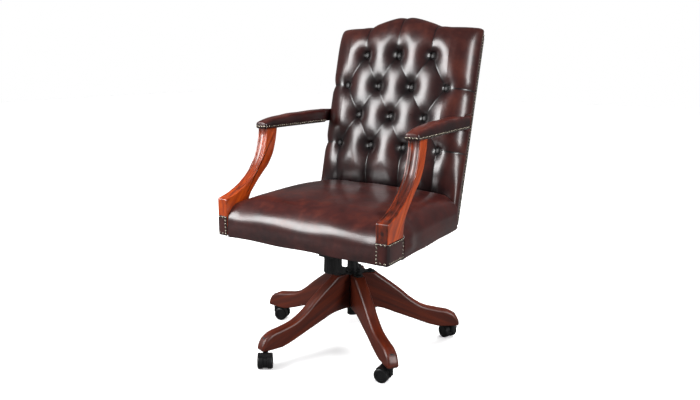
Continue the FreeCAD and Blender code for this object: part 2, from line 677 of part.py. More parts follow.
def button_pocket(x, up):
    return Part.makeCone(9, 22, BACK_DEPTH - BUTTON_DEPTH + 3, V(x, -BUTTON_DEPTH + 0.5, up), V(0, -1, 0))


def back_nails():
    """Nails down both sides of the back, close to its rear edge."""
    heads = []
    depth = -NAIL_STRIP / 2
    low = (BACK_EDGE_HALF, depth, 10)
    high = (BACK_EDGE_HALF, depth, BACK_SHOULDER - BACK_CORNER)
    for head in nail_line(low, high, (1, 0, 0)):
        heads.append(head)
        heads.append(mirrored(head))
    return heads


def frame_screws():
    """Screws that hold the mechanism's plate to the board and the arm supports to the frame."""
    screws = []
    for x in (-85, 85):
        for y in (-125, 0, 125):
            shank = rod(3.0, (x, y, PLATE_BOTTOM), (x, y, SEAT_BOTTOM + BOARD - 2))
            head = rod(6.0, (x, y, PLATE_BOTTOM - 2.6), (x, y, PLATE_BOTTOM))
            screws.append(shank.fuse(head).removeSplitter())
    for y in (-275, -238):
        for z in (410, 434):
            shank = rod(2.5, (FRONT_HALF - ARM_THICK - 38, y, z), (FRONT_HALF - 14, y, z))
            screw = toed_in(shank)
            screws.append(screw)
            screws.append(mirrored(screw))
    return screws


def make_upholstery():
    support = arm_support()
    patch = corner_patch()
    support = support.cut(patch)
    screws = group(frame_screws())
    stile_side = leaned(back_outline(BACK_EDGE_HALF + 0.5, BACK_SHOULDER, BACK_CORNER, BACK_DEPTH))
    rail = arm_rail(stile_side)
    pad = arm_pad(stile_side, rail)
    left_parts = {"arm_support": support.cut(screws), "corner_patch": patch, "arm_rail": rail, "arm_pad": pad}
    for name, shape in left_parts.items():
        save(name + "_left", shape)
        save(name + "_right", mirrored(shape))
    supports = [support, mirrored(support)]
    patches = [patch, mirrored(patch)]
    save("seat_frame", seat_frame(supports + patches).cut(screws))
    save("seat_board", seat_board())
    save("dust_cover", dust_cover())
    save("frame_screws", screws)
    cushion = seat_cushion(supports + patches)
    save("seat_cushion", cushion)
    for name, heads in (("arm_nails", arm_nails()), ("patch_nails", patch_nails())):
        save(name, group(heads + [mirrored(head) for head in heads]))
    frame = level_foot(leaned(back_frame()), SEAT_BOTTOM)
    panel = leaned(back_outline(BACK_EDGE_HALF - 3, BACK_SHOULDER - 12, BACK_CORNER, PANEL))
    panel = level_foot(panel, SEAT_BOTTOM)
    places = button_places()
    padding = level_foot(leaned(back_envelope()), SEAT_SKIRT).cut(frame).cut(panel).cut(cushion)
    seat_space = taper_prism(-30, FRONT_Y, SEAT_REAR_Y, SEAT_SKIRT - 20, 500)
    padding = padding.cut(seat_space).cut([leaned(button_pocket(x, up)) for x, up in places])
    beside_pad = toed_in(box(FRONT_HALF - 1, FRONT_HALF + 8, PAD_NOTCH_Y, PAD_REAR_Y, ARM_TOP, ARM_TOP + 44))
    for shape in (rail, pad, beside_pad):
        padding = padding.cut(shape).cut(mirrored(shape))
    save("back_frame", frame)
    save("outside_back", panel)
    save("back_cushion", padding)
    save("back_buttons", group([leaned(button(x, up)) for x, up in places]))
    save("back_nails", group([leaned(head) for head in back_nails()]))


os.makedirs("parts", exist_ok=True)
make_base()
make_column()
make_mechanism()
make_castors()
make_upholstery()
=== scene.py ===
import json
import math

import bmesh
import bpy
import numpy as np
from mathutils import Matrix, Vector


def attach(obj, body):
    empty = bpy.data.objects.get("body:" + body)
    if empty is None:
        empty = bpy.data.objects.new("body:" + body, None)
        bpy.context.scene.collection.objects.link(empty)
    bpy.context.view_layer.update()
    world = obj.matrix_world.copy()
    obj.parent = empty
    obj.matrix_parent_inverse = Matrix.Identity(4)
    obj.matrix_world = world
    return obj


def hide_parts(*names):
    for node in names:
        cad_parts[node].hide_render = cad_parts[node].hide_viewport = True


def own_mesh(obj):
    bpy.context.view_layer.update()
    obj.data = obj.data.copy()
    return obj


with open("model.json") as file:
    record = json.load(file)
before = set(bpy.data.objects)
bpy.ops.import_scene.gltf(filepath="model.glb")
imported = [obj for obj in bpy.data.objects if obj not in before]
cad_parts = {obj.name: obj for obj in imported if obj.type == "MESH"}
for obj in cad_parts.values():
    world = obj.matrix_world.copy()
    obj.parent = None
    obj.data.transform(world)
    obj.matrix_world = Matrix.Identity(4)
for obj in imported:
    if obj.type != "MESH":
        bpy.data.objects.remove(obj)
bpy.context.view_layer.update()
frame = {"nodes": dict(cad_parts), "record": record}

# Swivel office chair: button-back oxblood leather, show-wood arms and a five-legged wooden base.
# Sizes are in millimetres until a mesh is made. +Z is up, the chair faces -Y, the sitter's left is +X.

MM = 0.001

# ---- sizes shared with the solid model -------------------------------------

FRONT_Y = -303.0
SEAT_REAR_Y = 200.0
FRONT_HALF = 313.4
TOE = 28.8 / 539.0                 # how fast each side comes in towards the back
TOE_IN = math.atan(TOE)
REAR_FOOT_Y = 236.0
SEAT_BOTTOM = 391.0
SEAT_SKIRT = 385.5
FRONT_WAVE = 3.6
POST_PUFF = 9.0
SEAT_HOLLOW = 446.0                # where the cushion closes inside its frame
LEAN = math.radians(14.0)
BACK_SHOULDER = 658.0
BACK_CREST = 36.0
CREST_HALF = 185.0
BACK_HALF = 281.0
BACK_CORNER = 16.0
EDGE_HALF = 269.5
BUTTON_PITCH = 131.6
BUTTON_ROWS = (554.5, 445.2, 341.1, 235.0)
FOOT_TUCK = 15.0                   # how far the foot draws in behind the seat
FOOT_ROWS = 68                     # rows of points below the lowest buttons
WELL_DEPTH = 76.0                  # depth ahead of the rear face that the buttons are drawn down to
DIAGONAL_PLEAT, TOP_PLEAT, FOOT_PLEAT, SIDE_PLEAT = 13.0, 6.5, 8.0, 7.0      # depths half way along
BUTTON_DEPTH = 81.0
BUTTON_RADIUS = 10.5
WELL_HALF = (11.0, 14.0)           # a well's half width and half height
WELL_BOWL = 9.0                    # how much shallower a well is at its rim
AIR = 0.0102                       # how hard the pillows are blown up, 1/mm
OVERSHOOT = 1.88                   # how far past the mean a point moves in a round of the relaxation
ROUNDS = 320
CELLS = 30                         # grid cells between one button row and the next
ACROSS_STEP = BUTTON_PITCH / (2 * CELLS)
UP_STEP = 3.6                      # mean height of those cells
ARM_THICK = 38.6
ARM_TOP = 712.0
PAD_FRONT_Y = -124.5
PAD_REAR_Y = 271.0
PAD_WIDTH = 44.0
PAD_STEP_Y = 188.0                 # where the pad's inner side starts to step aside for the back
PAD_STEP_RUN = 18.0
PAD_ROUNDNESS = 0.30               # power of the cosine and sine: 0 is a box, 1 an ellipse
PATCH_TOP = 452.0
PATCH_DEPTH = 93.0
NAIL_PITCH = 10.2
NAIL_RADIUS = 4.0
NAIL_HEIGHT = 2.3
FIRST_LEG = math.radians(34.9)
LEG_THICK = 38.0
LEG_ROUNDING = 9.5                 # radius along a leg's top and toe
END_RING = 0.8


# ---- small helpers ---------------------------------------------------------

def smooth_line(points, count):
    """Even points along a smooth line: every stretch is the cubic whose slope at each of its two points
    is half the step between that point's neighbours."""
    p = np.asarray(points, float)
    ghost = np.vstack([2 * p[0] - p[1], p, 2 * p[-1] - p[-2]])
    t = np.linspace(0, len(p) - 1, 60 * len(p))
    i = np.minimum(t.astype(int), len(p) - 2)
    f = (t - i)[:, None]
    a, b, c, d = ghost[i], ghost[i + 1], ghost[i + 2], ghost[i + 3]
    line = 0.5 * (2 * b + (c - a) * f + (2 * a - 5 * b + 4 * c - d) * f ** 2 + (3 * b - a - 3 * c + d) * f ** 3)
    return even(line, count)


def even(line, count):
    """The same line with its points at equal distances along it."""
    run = np.concatenate([[0], np.cumsum(np.linalg.norm(np.diff(line, axis=0), axis=1))])
    at = np.linspace(0, run[-1], count)
    return np.stack([np.interp(at, run, line[:, k]) for k in range(line.shape[1])], 1)


def unit(vectors):
    """The same directions, one unit long."""
    return vectors / np.maximum(np.linalg.norm(vectors, axis=-1), 1e-9)[..., None]


def rings_round(directions, guide, sides):
    """Unit circles of points square to directions, each starting square to the guide as well."""
    turn = np.linspace(0, 2 * math.pi, sides, endpoint=False)
    first = unit(np.cross(directions, guide))
    second = np.cross(directions, first)
    return np.cos(turn)[None, :, None] * first[:, None] + np.sin(turn)[None, :, None] * second[:, None]


def outward(loop):
    """Unit normals of a closed plane loop, a quarter turn from the step between each point's neighbours,
    pointing away from its middle."""
    step = np.roll(loop, -1, 0) - np.roll(loop, 1, 0)
    normal = unit(np.stack([step[:, 1], -step[:, 0]], 1))
    x, y = loop[:, 0], loop[:, 1]
    area = np.sum(x * np.roll(y, -1) - y * np.roll(x, -1))
    return normal if area > 0 else -normal


def ease(t):
    """0 below 0, 1 above 1, and an S-shaped rise between them."""
    t = np.clip(t, 0, 1)
    return t * t * (3 - 2 * t)


def quarter_round(distance, radius):
    """Inset of a quarter-round edge: the radius at the very edge, falling on a circle to nothing one radius in."""
    d = np.clip(1 - distance / radius, 0, 1)
    return radius * (1 - np.sqrt(1 - d * d))


def grid_faces(rows, columns, wrap_columns=False):
    """Four-cornered faces of a grid of points numbered row by row."""
    c = np.arange(columns if wrap_columns else columns - 1)
    r, c = np.meshgrid(np.arange(rows - 1), c, indexing="ij")
    c2 = (c + 1) % columns
    quads = np.stack([r * columns + c, r * columns + c2, (r + 1) * columns + c2, (r + 1) * columns + c], -1)
    return quads.reshape(-1, 4)


def capped_faces(rows, columns, first=True, last=True):
    """Faces of a grid whose columns meet, with a flat face over its first row, its last row or both."""
    faces = grid_faces(rows, columns, wrap_columns=True).tolist()
    if first:
        faces.append(list(range(columns)))
    if last:
        faces.append(list(range((rows - 1) * columns, rows * columns)))
    return faces


def rim_of(rows, columns):
    """Numbers of the points round a grid's four edges, in order."""
    index = np.arange(rows * columns).reshape(rows, columns)
    return np.concatenate([index[0], index[1:, -1], index[-1, -2::-1], index[-2:0:-1, 0]])


def piece(name, points, faces, body, material, stands_for=(), sharp=50.0, fields=None, mend=True):
    """New mesh object that rides on a body. Points are millimetres; fields are numbers kept on its points."""
    mesh = bpy.data.meshes.new(name)
    mesh.from_pydata((np.asarray(points, float) * MM).tolist(), [], faces)
    for field, values in (fields or {}).items():
        values = np.asarray(values, np.float32)
        kind = "FLOAT_VECTOR" if values.ndim == 2 else "FLOAT"
        layer = mesh.attributes.new(field, kind, "POINT")
        layer.data.foreach_set("vector" if values.ndim == 2 else "value", values.ravel())
    if mend:
        work = bmesh.new()
        work.from_mesh(mesh)
        bmesh.ops.remove_doubles(work, verts=work.verts, dist=1e-6)
        bmesh.ops.recalc_face_normals(work, faces=work.faces)
        work.to_mesh(mesh)
        work.free()
    mesh.polygons.foreach_set("use_smooth", np.ones(len(mesh.polygons), bool))
    mesh.set_sharp_from_angle(angle=math.radians(sharp))
    mesh.materials.append(material)
    obj = bpy.data.objects.new(name, mesh)
    bpy.context.scene.collection.objects.link(obj)
    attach(obj, body)
    if stands_for:
        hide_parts(*stands_for)
    return obj


def flipped(points):
    """The other side's copy of some points."""
    return np.asarray(points) * np.array([-1.0, 1.0, 1.0])


def toed_in(points):
    """Turn points made square against x = FRONT_HALF about its front end, so that they follow the taper."""
    p = np.array(points, float)
    x, y = p[..., 0] - FRONT_HALF, p[..., 1] - FRONT_Y
    cos, sin = math.cos(TOE_IN), math.sin(TOE_IN)
    p[..., 0] = FRONT_HALF + x * cos - y * sin
    p[..., 1] = FRONT_Y + x * sin + y * cos
    return p


def both_sides(points):
    """Points of the sitter's left side, turned to follow the taper, and their mirror image on the right."""
    left = toed_in(points)
    return ("left", left), ("right", flipped(left))


def leaned(points):
    """Carry points of the upright back, (across, depth ahead of the rear face, length up), onto the lean."""
    p = np.asarray(points, float)
    across, depth, up = p[..., 0], p[..., 1], p[..., 2]
    y = REAR_FOOT_Y - depth * math.cos(LEAN) + up * math.sin(LEAN)
    z = SEAT_BOTTOM + depth * math.sin(LEAN) + up * math.cos(LEAN)
    return np.stack([across, y, z], -1)


def arm_plane(y):
    """Half the chair's width over the arms."""
    return FRONT_HALF - (y - FRONT_Y) * TOE


# ---- materials -------------------------------------------------------------

def colour(code):
    """Linear colour of an sRGB hex value."""
    values = [int(code[i:i + 2], 16) / 255 for i in (1, 3, 5)]
    return [v / 12.92 if v <= 0.04045 else ((v + 0.055) / 1.055) ** 2.4 for v in values] + [1.0]


def fill(tree, node, **inputs):
    """Give a node's inputs a value or another node's output; in_0 style names count the sockets."""
    for key, value in inputs.items():
        socket = node.inputs[int(key[3:]) if key.startswith("in_") else key.replace("_", " ")]
        if isinstance(value, bpy.types.NodeSocket):
            tree.links.new(value, socket)
        else:
            socket.default_value = value


def add(tree, kind, settings=None, out=0, **inputs):
    """Add one node with its settings and inputs, and return one of its outputs. The setting "stops" fills a
    colour ramp with (place, hex) pairs."""
    node = tree.nodes.new("ShaderNode" + kind)
    for key, value in (settings or {}).items():
        if key == "stops":
            steps = node.color_ramp.elements
            while len(steps) < len(value):
                steps.new(0.5)
            for step, (place, code) in zip(steps, value):
                step.position = place
                step.color = colour(code)
        else:
            setattr(node, key, value)
    fill(tree, node, **inputs)
    return node.outputs[out]


PLUS, MINUS, TIMES = ({"operation": name} for name in ("ADD", "SUBTRACT", "MULTIPLY"))


def new_material(name, view_colour):
    """A named material, its node tree and its shader."""
    material = bpy.data.materials.new(name)
    material.use_nodes = True
    material.diffuse_color = colour(view_colour)
    tree = material.node_tree
    return material, tree, tree.nodes["Principled BSDF"]


def leather(name, stops, gloss=0.28, wax=0.5):
    """Antiqued cowhide: dyed oxblood, waxed, and rubbed back on its crowns. The eye sees near-black hollows,
    painted as shade through a field on the points that carries both the rubbing and that painted shade,
    red-brown crowns, soft cloudy patches a few centimetres wide, and clean window-like highlights."""
    material, tree, shader = new_material(name, stops[1][1])
    place = add(tree, "TexCoord", out="Object")
    # the point field read here carries rubbed wear and painted shade in the hollows, along the pleats and on the
    # buttons
    worn = add(tree, "Attribute", {"attribute_name": "rub"}, "Fac")
    cloud = add(tree, "TexNoise", out="Fac", Vector=place, Scale=14.0, Detail=4.0, Roughness=0.6)
    patch = add(tree, "TexNoise", out="Fac", Vector=place, Scale=55.0, Detail=3.0, Roughness=0.6)
    for noise, strength in ((cloud, 0.9), (patch, 0.3)):
        centred = add(tree, "Math", MINUS, in_0=noise, in_1=0.5)
        worn = add(tree, "Math", PLUS, in_0=worn, in_1=add(tree, "Math", TIMES, in_0=centred, in_1=strength))
    # real pores are about 0.4 mm apart; they are drawn as a 2.5 mm pebble so that they show
    pebble = add(tree, "TexNoise", out="Fac", Vector=place, Scale=400.0, Detail=3.0, Roughness=0.55)
    fill(tree, shader,
         Base_Color=add(tree, "ValToRGB", {"stops": stops}, in_0=worn),
         Normal=add(tree, "Bump", Strength=0.2, Distance=0.0004, Height=pebble),
         Roughness=add(tree, "MapRange", Value=patch, To_Min=gloss - 0.05, To_Max=gloss + 0.12),
         IOR=1.5, Coat_Weight=wax, Coat_Roughness=0.24, Coat_IOR=1.48)
    return material


def timber(name, stops, gloss=0.25, coat=0.12, polish=0.7):
    """Stained and French-polished hardwood: fine streaks run with the piece's own length, with darker pores
    a millimetre wide and slow bands of colour, under a hard clear polish."""
    material, tree, shader = new_material(name, stops[1][1])
    run = add(tree, "Attribute", {"attribute_name": "grain"}, "Vector")
    stain = add(tree, "Attribute", {"attribute_name": "stain"}, "Fac")
    stretched = add(tree, "Mapping", Vector=run, Scale=(5.0, 55.0, 55.0))
    bands = add(tree, "TexNoise", out="Fac", Vector=stretched, Scale=1.0, Detail=3.0, Distortion=0.6)
    fine = add(tree, "Mapping", Vector=run, Scale=(40.0, 800.0, 800.0))
    pores = add(tree, "TexNoise", out="Fac", Vector=fine, Scale=1.0, Detail=2.0, Roughness=0.7)
    centred = add(tree, "Math", MINUS, in_0=pores, in_1=0.5)
    tone = add(tree, "Math", PLUS, in_0=bands, in_1=add(tree, "Math", TIMES, in_0=centred, in_1=0.35))
    # this point field lowers the tone where stain gathers in the reeds, and as painted shade over the front of the
    # sitter's left support
    tone = add(tree, "Math", MINUS, in_0=tone, in_1=stain)
    fill(tree, shader,
         Base_Color=add(tree, "ValToRGB", {"stops": stops}, in_0=tone),
         Normal=add(tree, "Bump", Strength=0.12, Distance=0.0004, Height=pores),
         Roughness=add(tree, "MapRange", Value=pores, To_Min=gloss, To_Max=gloss + 0.15),
         Coat_Weight=polish, Coat_Roughness=coat, Coat_IOR=1.5)
    return material


def coated(name, base, worn, metallic, low, high, scale, bump_size):
    """Metal or plastic with an even finish: a little colour drift, and a fine pebble or brushed bump."""
    material, tree, shader = new_material(name, base)
    place = add(tree, "TexCoord", out="Object")
    drift = add(tree, "TexNoise", out="Fac", Vector=place, Scale=60.0, Detail=4.0, Roughness=0.6)
    grit = add(tree, "TexNoise", out="Fac", Vector=place, Scale=scale, Detail=2.0)
    fill(tree, shader, Metallic=metallic,
         Base_Color=add(tree, "ValToRGB", {"stops": [(0.3, base), (0.75, worn)]}, in_0=drift),
         Normal=add(tree, "Bump", Strength=0.2, Distance=bump_size, Height=grit),
         Roughness=add(tree, "MapRange", Value=drift, To_Min=low, To_Max=high))
    return material


def woven(name, base, light):
    """Spun black cloth under the seat: threads drawn as crossed waves, matt with a faint fuzz."""
    material, tree, shader = new_material(name, base)
    place = add(tree, "TexCoord", out="Object")
    warp, weft = (add(tree, "TexWave", {"bands_direction": way}, "Fac", Vector=place, Scale=160.0, Distortion=1.0)
                  for way in "XY")
    weave = add(tree, "Math", TIMES, in_0=warp, in_1=weft)
    fill(tree, shader, Roughness=0.9, Sheen_Weight=0.2,
         Base_Color=add(tree, "ValToRGB", {"stops": [(0.0, base), (1.0, light)]}, in_0=weave),
         Normal=add(tree, "Bump", Strength=0.4, Distance=0.0004, Height=weave))
    return material


OXBLOOD = [(0.0, "#060203"), (0.35, "#200a0b"), (0.68, "#3c1512"), (1.0, "#5e271a")]
DEEP_OXBLOOD = [(0.0, "#060203"), (0.35, "#1c090a"), (0.68, "#351411"), (1.0, "#52241a")]
back_leather = leather("antiqued_oxblood_cowhide_back", DEEP_OXBLOOD)
seat_leather = leather("antiqued_oxblood_cowhide_seat", OXBLOOD, gloss=0.34)
arm_leather = leather("antiqued_oxblood_cowhide_arms", OXBLOOD, gloss=0.3)
button_leather = leather("antiqued_oxblood_cowhide_buttons", OXBLOOD, gloss=0.5, wax=0.12)
trim_leather = leather("antiqued_oxblood_cowhide_trim", OXBLOOD, gloss=0.3)
arm_timber = timber("polished_mahogany_arms",
                    [(0.0, "#1c0906"), (0.25, "#5c1d09"), (0.5, "#a03a08"), (0.8, "#c4520f")])
base_timber = timber("polished_mahogany_base",
                     [(0.2, "#2f0c03"), (0.5, "#4f1805"), (0.8, "#6a2608")], gloss=0.36, coat=0.32, polish=0.22)
hidden_timber = timber("sawn_beech_frame", [(0.2, "#8a6a44"), (0.5, "#a98457"), (0.8, "#bf9c6c")],
                       gloss=0.6)
black_steel = coated("black_powder_coated_steel", "#0b0b0c", "#141416", 0.0, 0.32, 0.42, 1500.0, 0.0002)
bright_steel = coated("turned_bright_steel", "#8d8f92", "#a6a8aa", 1.0, 0.22, 0.34, 900.0, 0.0001)
black_nylon = coated("moulded_black_nylon", "#0c0c0d", "#161617", 0.0, 0.3, 0.45, 700.0, 0.0002)
nail_metal = coated("nickelled_nail_heads", "#a39b8e", "#7d7568", 1.0, 0.18, 0.36, 900.0, 0.0001)
under_cloth = woven("spun_black_undercloth", "#08080a", "#1b1b1e")

SLOT_MATERIALS = {"leather": trim_leather, "leather_padding": trim_leather, "arm_wood": arm_timber,
                  "base_wood": base_timber, "frame_wood": hidden_timber, "black_steel": black_steel,
                  "bright_steel": bright_steel, "black_plastic": black_nylon, "nail_metal": nail_metal,
                  "black_cloth": under_cloth}


# ---- shaped solids ---------------------------------------------------------

def carved(loop, across, inset):
    """Solid with a shaped outline: each station across it repeats the outline, drawn in along the outline's
    own normals by inset[station, point]. Each end has a flat ring END_RING wide round its flat face."""
    normal = outward(loop)
    inset = np.concatenate([inset[:1] + END_RING, inset, inset[-1:] + END_RING])
    across = np.concatenate([across[:1], across, across[-1:]])
    grid = loop[None] - normal[None] * inset[..., None]
    points = np.concatenate([np.broadcast_to(across[:, None, None], grid.shape[:2] + (1,)), grid], -1)
    return points, capped_faces(*grid.shape[:2])


# ---- base ------------------------------------------------------------------

def leg_loop():
    """Side outline of a leg, (distance from the column, height), and where on it the top runs."""
    top = smooth_line([(74, 242), (118, 211), (160, 179), (198, 147), (238, 123), (285, 111), (322, 104),
                       (347, 90), (359, 72), (362, 60)], 110)
    toe = smooth_line([(362, 60), (361.5, 55), (357, 51.4)], 8)[1:]
    flat = even(np.array([(357, 51.4), (290, 51.4)], float), 16)[1:]
    under = smooth_line([(290, 51.4), (252, 62), (200, 81), (150, 99), (100, 117), (60, 124)], 70)[1:]
    root = even(np.array([(60, 124), (27, 126), (27, 242), (74, 242)], float), 60)[1:-1]
    return np.vstack([top, toe, flat, under, root]), len(top) + len(toe)


def make_legs():
    """A leg's edges are rounded: its outline is drawn in by a quarter round near both side faces, wide along
    the top and the toe, narrow underneath."""
    loop, top_count = leg_loop()
    half = LEG_THICK / 2
    edge = half - LEG_ROUNDING * (1 - np.cos(np.linspace(0, 1, 9) * math.pi / 2))
    across = np.sort(np.concatenate([-edge, [0.0], edge]))
    distance = half - np.abs(across)
    radius = np.where(np.arange(len(loop)) < top_count, LEG_ROUNDING, 4.0)
    soft = np.convolve(np.r_[radius[-6:], radius, radius[:6]], np.ones(13) / 13, "valid")
    # the edges stay crisp where a leg meets the hub
    soft = 0.8 + (soft - 0.8) * ease((loop[:, 0] - 40) / 40)
    points, faces = carved(loop, across, quarter_round(distance[:, None], soft[None]))
    for i in range(5):
        angle = FIRST_LEG + i * math.radians(72)
        x = points[..., 1] * math.cos(angle) - points[..., 0] * math.sin(angle)
        y = points[..., 1] * math.sin(angle) + points[..., 0] * math.cos(angle)
        turned = np.stack([x, y, points[..., 2]], -1).reshape(-1, 3)
        along = np.hypot(points[..., 1], points[..., 2] * 0.9)
        grain = np.stack([along + 900 * i, points[..., 0] + 60 * i, points[..., 2] + 0.45 * points[..., 1]], -1)
        piece("leg_%d_shaped" % (i + 1), turned, faces, "base", base_timber,
              ("leg_%d" % (i + 1),), 40, {"grain": grain.reshape(-1, 3) * MM})


# ---- arms ------------------------------------------------------------------

def support_loop():
    """Side outline of an arm support, (y, height), with where its reeded front starts and ends."""
    block = even(np.array([(FRONT_Y, SEAT_BOTTOM), (FRONT_Y, 502)], float), 45)
    nose = smooth_line([(-303, 502), (-302.4, 505), (-300.5, 507.2), (-297, 508.6)], 8)[1:]
    front = smooth_line([(-297, 508.6), (-283, 512.5), (-263, 518.5), (-243, 527), (-217, 540), (-188, 560),
                         (-163, 583), (-144, 607), (-131, 633), (-121, 665), (-115, 690), (-113, 713)], 150)[1:]
    top = even(np.array([(-113, 713), (-63, 713)], float), 18)[1:]
    rear = smooth_line([(-63, 713), (-65, 697), (-71, 669), (-84, 631), (-108, 595), (-128, 577), (-154, 553),
                        (-175, 531), (-191, 513), (-203, 491), (-208, 473), (-210, 452)], 130)[1:]
    foot = even(np.array([(-210, 452), (-210, SEAT_BOTTOM), (FRONT_Y, SEAT_BOTTOM)], float), 60)[1:-1]
    loop = np.vstack([block, nose, front, top, rear, foot])
    start = len(block) + len(nose)
    return loop, start, start + len(front)


def make_supports():
    """The front is reeded: two fine grooves run along each edge and a shallow hollow between them. Each is
    a cosine dip in the outline's inset, faded in just above the nose of the block."""
    loop, reed_start, reed_end = support_loop()
    half = ARM_THICK / 2
    side = np.array([0, 0.25, 0.7, 1.4, 2.3, 3.4, 4.2, 5.0, 5.6, 6.1, 6.6, 7.2, 7.9, 8.5, 9.0, 9.5, 10.1, 10.8,
                     11.6, 12.6, 14.0, 15.8, 17.6])
    across = np.concatenate([-half + side, [0.0], (half - side)[::-1]])
    distance = half - np.abs(across)
    index = np.arange(len(loop))
    reeded = (index >= reed_start) & (index < reed_end)
    mask = ease((index - reed_start) / 10.0) * ease((reed_end + 6 - index) / 6.0) * reeded
    radius = np.where(reeded, 3.2, 2.6)
    inset = quarter_round(distance[:, None], radius[None])
    groove = np.zeros_like(distance)
    for centre, width, depth in ((6.1, 1.5, 1.5), (9.0, 1.5, 1.5)):
        groove += depth * np.cos(np.clip((distance - centre) / width, -1, 1) * math.pi / 2) ** 2
    groove += 1.6 * ease((distance - 10.5) / 5.0)
    inset = inset + groove[:, None] * mask[None]
    points, faces = carved(loop, across, inset)
    square = np.stack([points[..., 0] + FRONT_HALF - half, points[..., 1], points[..., 2]], -1)
    slant = np.clip((points[..., 1] + 303) * 0.75 + points[..., 2], 0, None)
    grain = np.stack([slant, points[..., 0], points[..., 1] * 0.6 - points[..., 2] * 0.45], -1)
    # stain gathers in the reeds, and the front of the sitter's left support is painted darker all over, as shade on a
    # face turned away from the lamps
    face = ease(distance / 3.0)[:, None] * (index < reed_end)[None]
    face = np.concatenate([face[:1], face, face[-1:]])
    reeds = 0.25 * np.concatenate([groove[:1], groove, groove[-1:]])[:, None] * mask[None]
    for name, place in both_sides(square):
        # painted shade: the 0.30 darkens the left support's front face; the reeds term is stain
        stain = face * (0.30 if name == "left" else 0.02) + reeds * 0.22
        if name == "left":
            # a small dark round mark in the middle of the block's front
            stain = stain + 0.3 * face * np.exp(-(points[..., 0] / 6.5) ** 2 - ((points[..., 2] - 479) / 6.5) ** 2)
        piece("arm_support_%s_carved" % name, place.reshape(-1, 3), faces, "seat", arm_timber,
              ("arm_support_" + name,), 35, {"grain": grain.reshape(-1, 3) * MM + (0.5 if name == "left" else 0),
                                             "stain": stain.ravel()})


def make_pads():
    """A pad is a run of rounded-box sections, |u|^n + |v|^n = 1 with n near 7, whose top follows a slow curve;
    its front end is closed by a quarter round. Behind the front of the back the inner half steps aside."""
    top = smooth_line([(PAD_FRONT_Y, 733), (-80, 743), (-20, 750), (60, 754), (150, 756), (PAD_REAR_Y, 753)], 60)
    start = PAD_FRONT_Y + 7 * (1 - np.cos(np.linspace(0, math.pi / 2, 9)))
    body = np.linspace(PAD_FRONT_Y + 9, 186, 90)
    step = np.linspace(PAD_STEP_Y, PAD_STEP_Y + PAD_STEP_RUN, 14)
    tail = np.linspace(209, PAD_REAR_Y, 22)
    stations = np.concatenate([start, body, step, tail])
    high = np.interp(stations, top[:, 0], top[:, 1])
    inner_edge = FRONT_HALF - PAD_WIDTH
    # beside the back the inner face moves out to clear its stile, in the toed-in frame
    clear = 271.0 + (stations - FRONT_Y) * TOE
    inner = inner_edge + ease((stations - PAD_STEP_Y) / PAD_STEP_RUN) * np.maximum(clear - inner_edge, 0)
    front = quarter_round(stations - PAD_FRONT_Y, 7.0)
    t = np.linspace(0, 2 * math.pi, 96, endpoint=False) + 0.01
    c, s = np.cos(t), np.sin(t)
    middle_z = (ARM_TOP + high) / 2
    half_z = (high - ARM_TOP) / 2
    middle_x = (inner + FRONT_HALF) / 2
    half_x = (FRONT_HALF - inner) / 2
    u = np.sign(c) * np.abs(c) ** PAD_ROUNDNESS
    v = np.sign(s) * np.abs(s) ** PAD_ROUNDNESS
    hx = (half_x - front * 0.8)[:, None]
    hz = (half_z - front * 0.45)[:, None]
    # soft top: the upper corners are rounder than the lower ones, and the top is crowned across
    crown = np.where(v > 0, 2.2 * (1 - u ** 2), 0.0)[None]
    lean = np.where(v > 0.0, 1 - 0.07 * v ** 2, 1.0)[None]
    swell = 1.4 * np.maximum(1 - v ** 2, 0)[None]
    x = middle_x[:, None] + (hx * u[None]) * lean + np.sign(u)[None] * swell * np.abs(u)[None] ** 3
    z = middle_z[:, None] + hz * v[None] + crown
    y = np.broadcast_to(stations[:, None], x.shape)
    ripple = 0.7 * np.sin(y * 0.045 + 1.3 * np.sin(y * 0.021)) * np.maximum(v, 0)[None] ** 2
    square = np.stack([x, y, z + ripple], -1)
    faces = capped_faces(*x.shape)
    # the leather is drawn lighter over the pad's upper half, most on its top
    rub = 0.35 + 0.45 * np.clip(v, 0, 1)[None] ** 2 * np.ones_like(x)
    for name, place in both_sides(square):
        pad = piece("arm_pad_%s_leather" % name, place.reshape(-1, 3), faces, "seat", arm_leather,
                    ("arm_pad_" + name, "arm_rail_" + name), 60, {"rub": rub.ravel()})


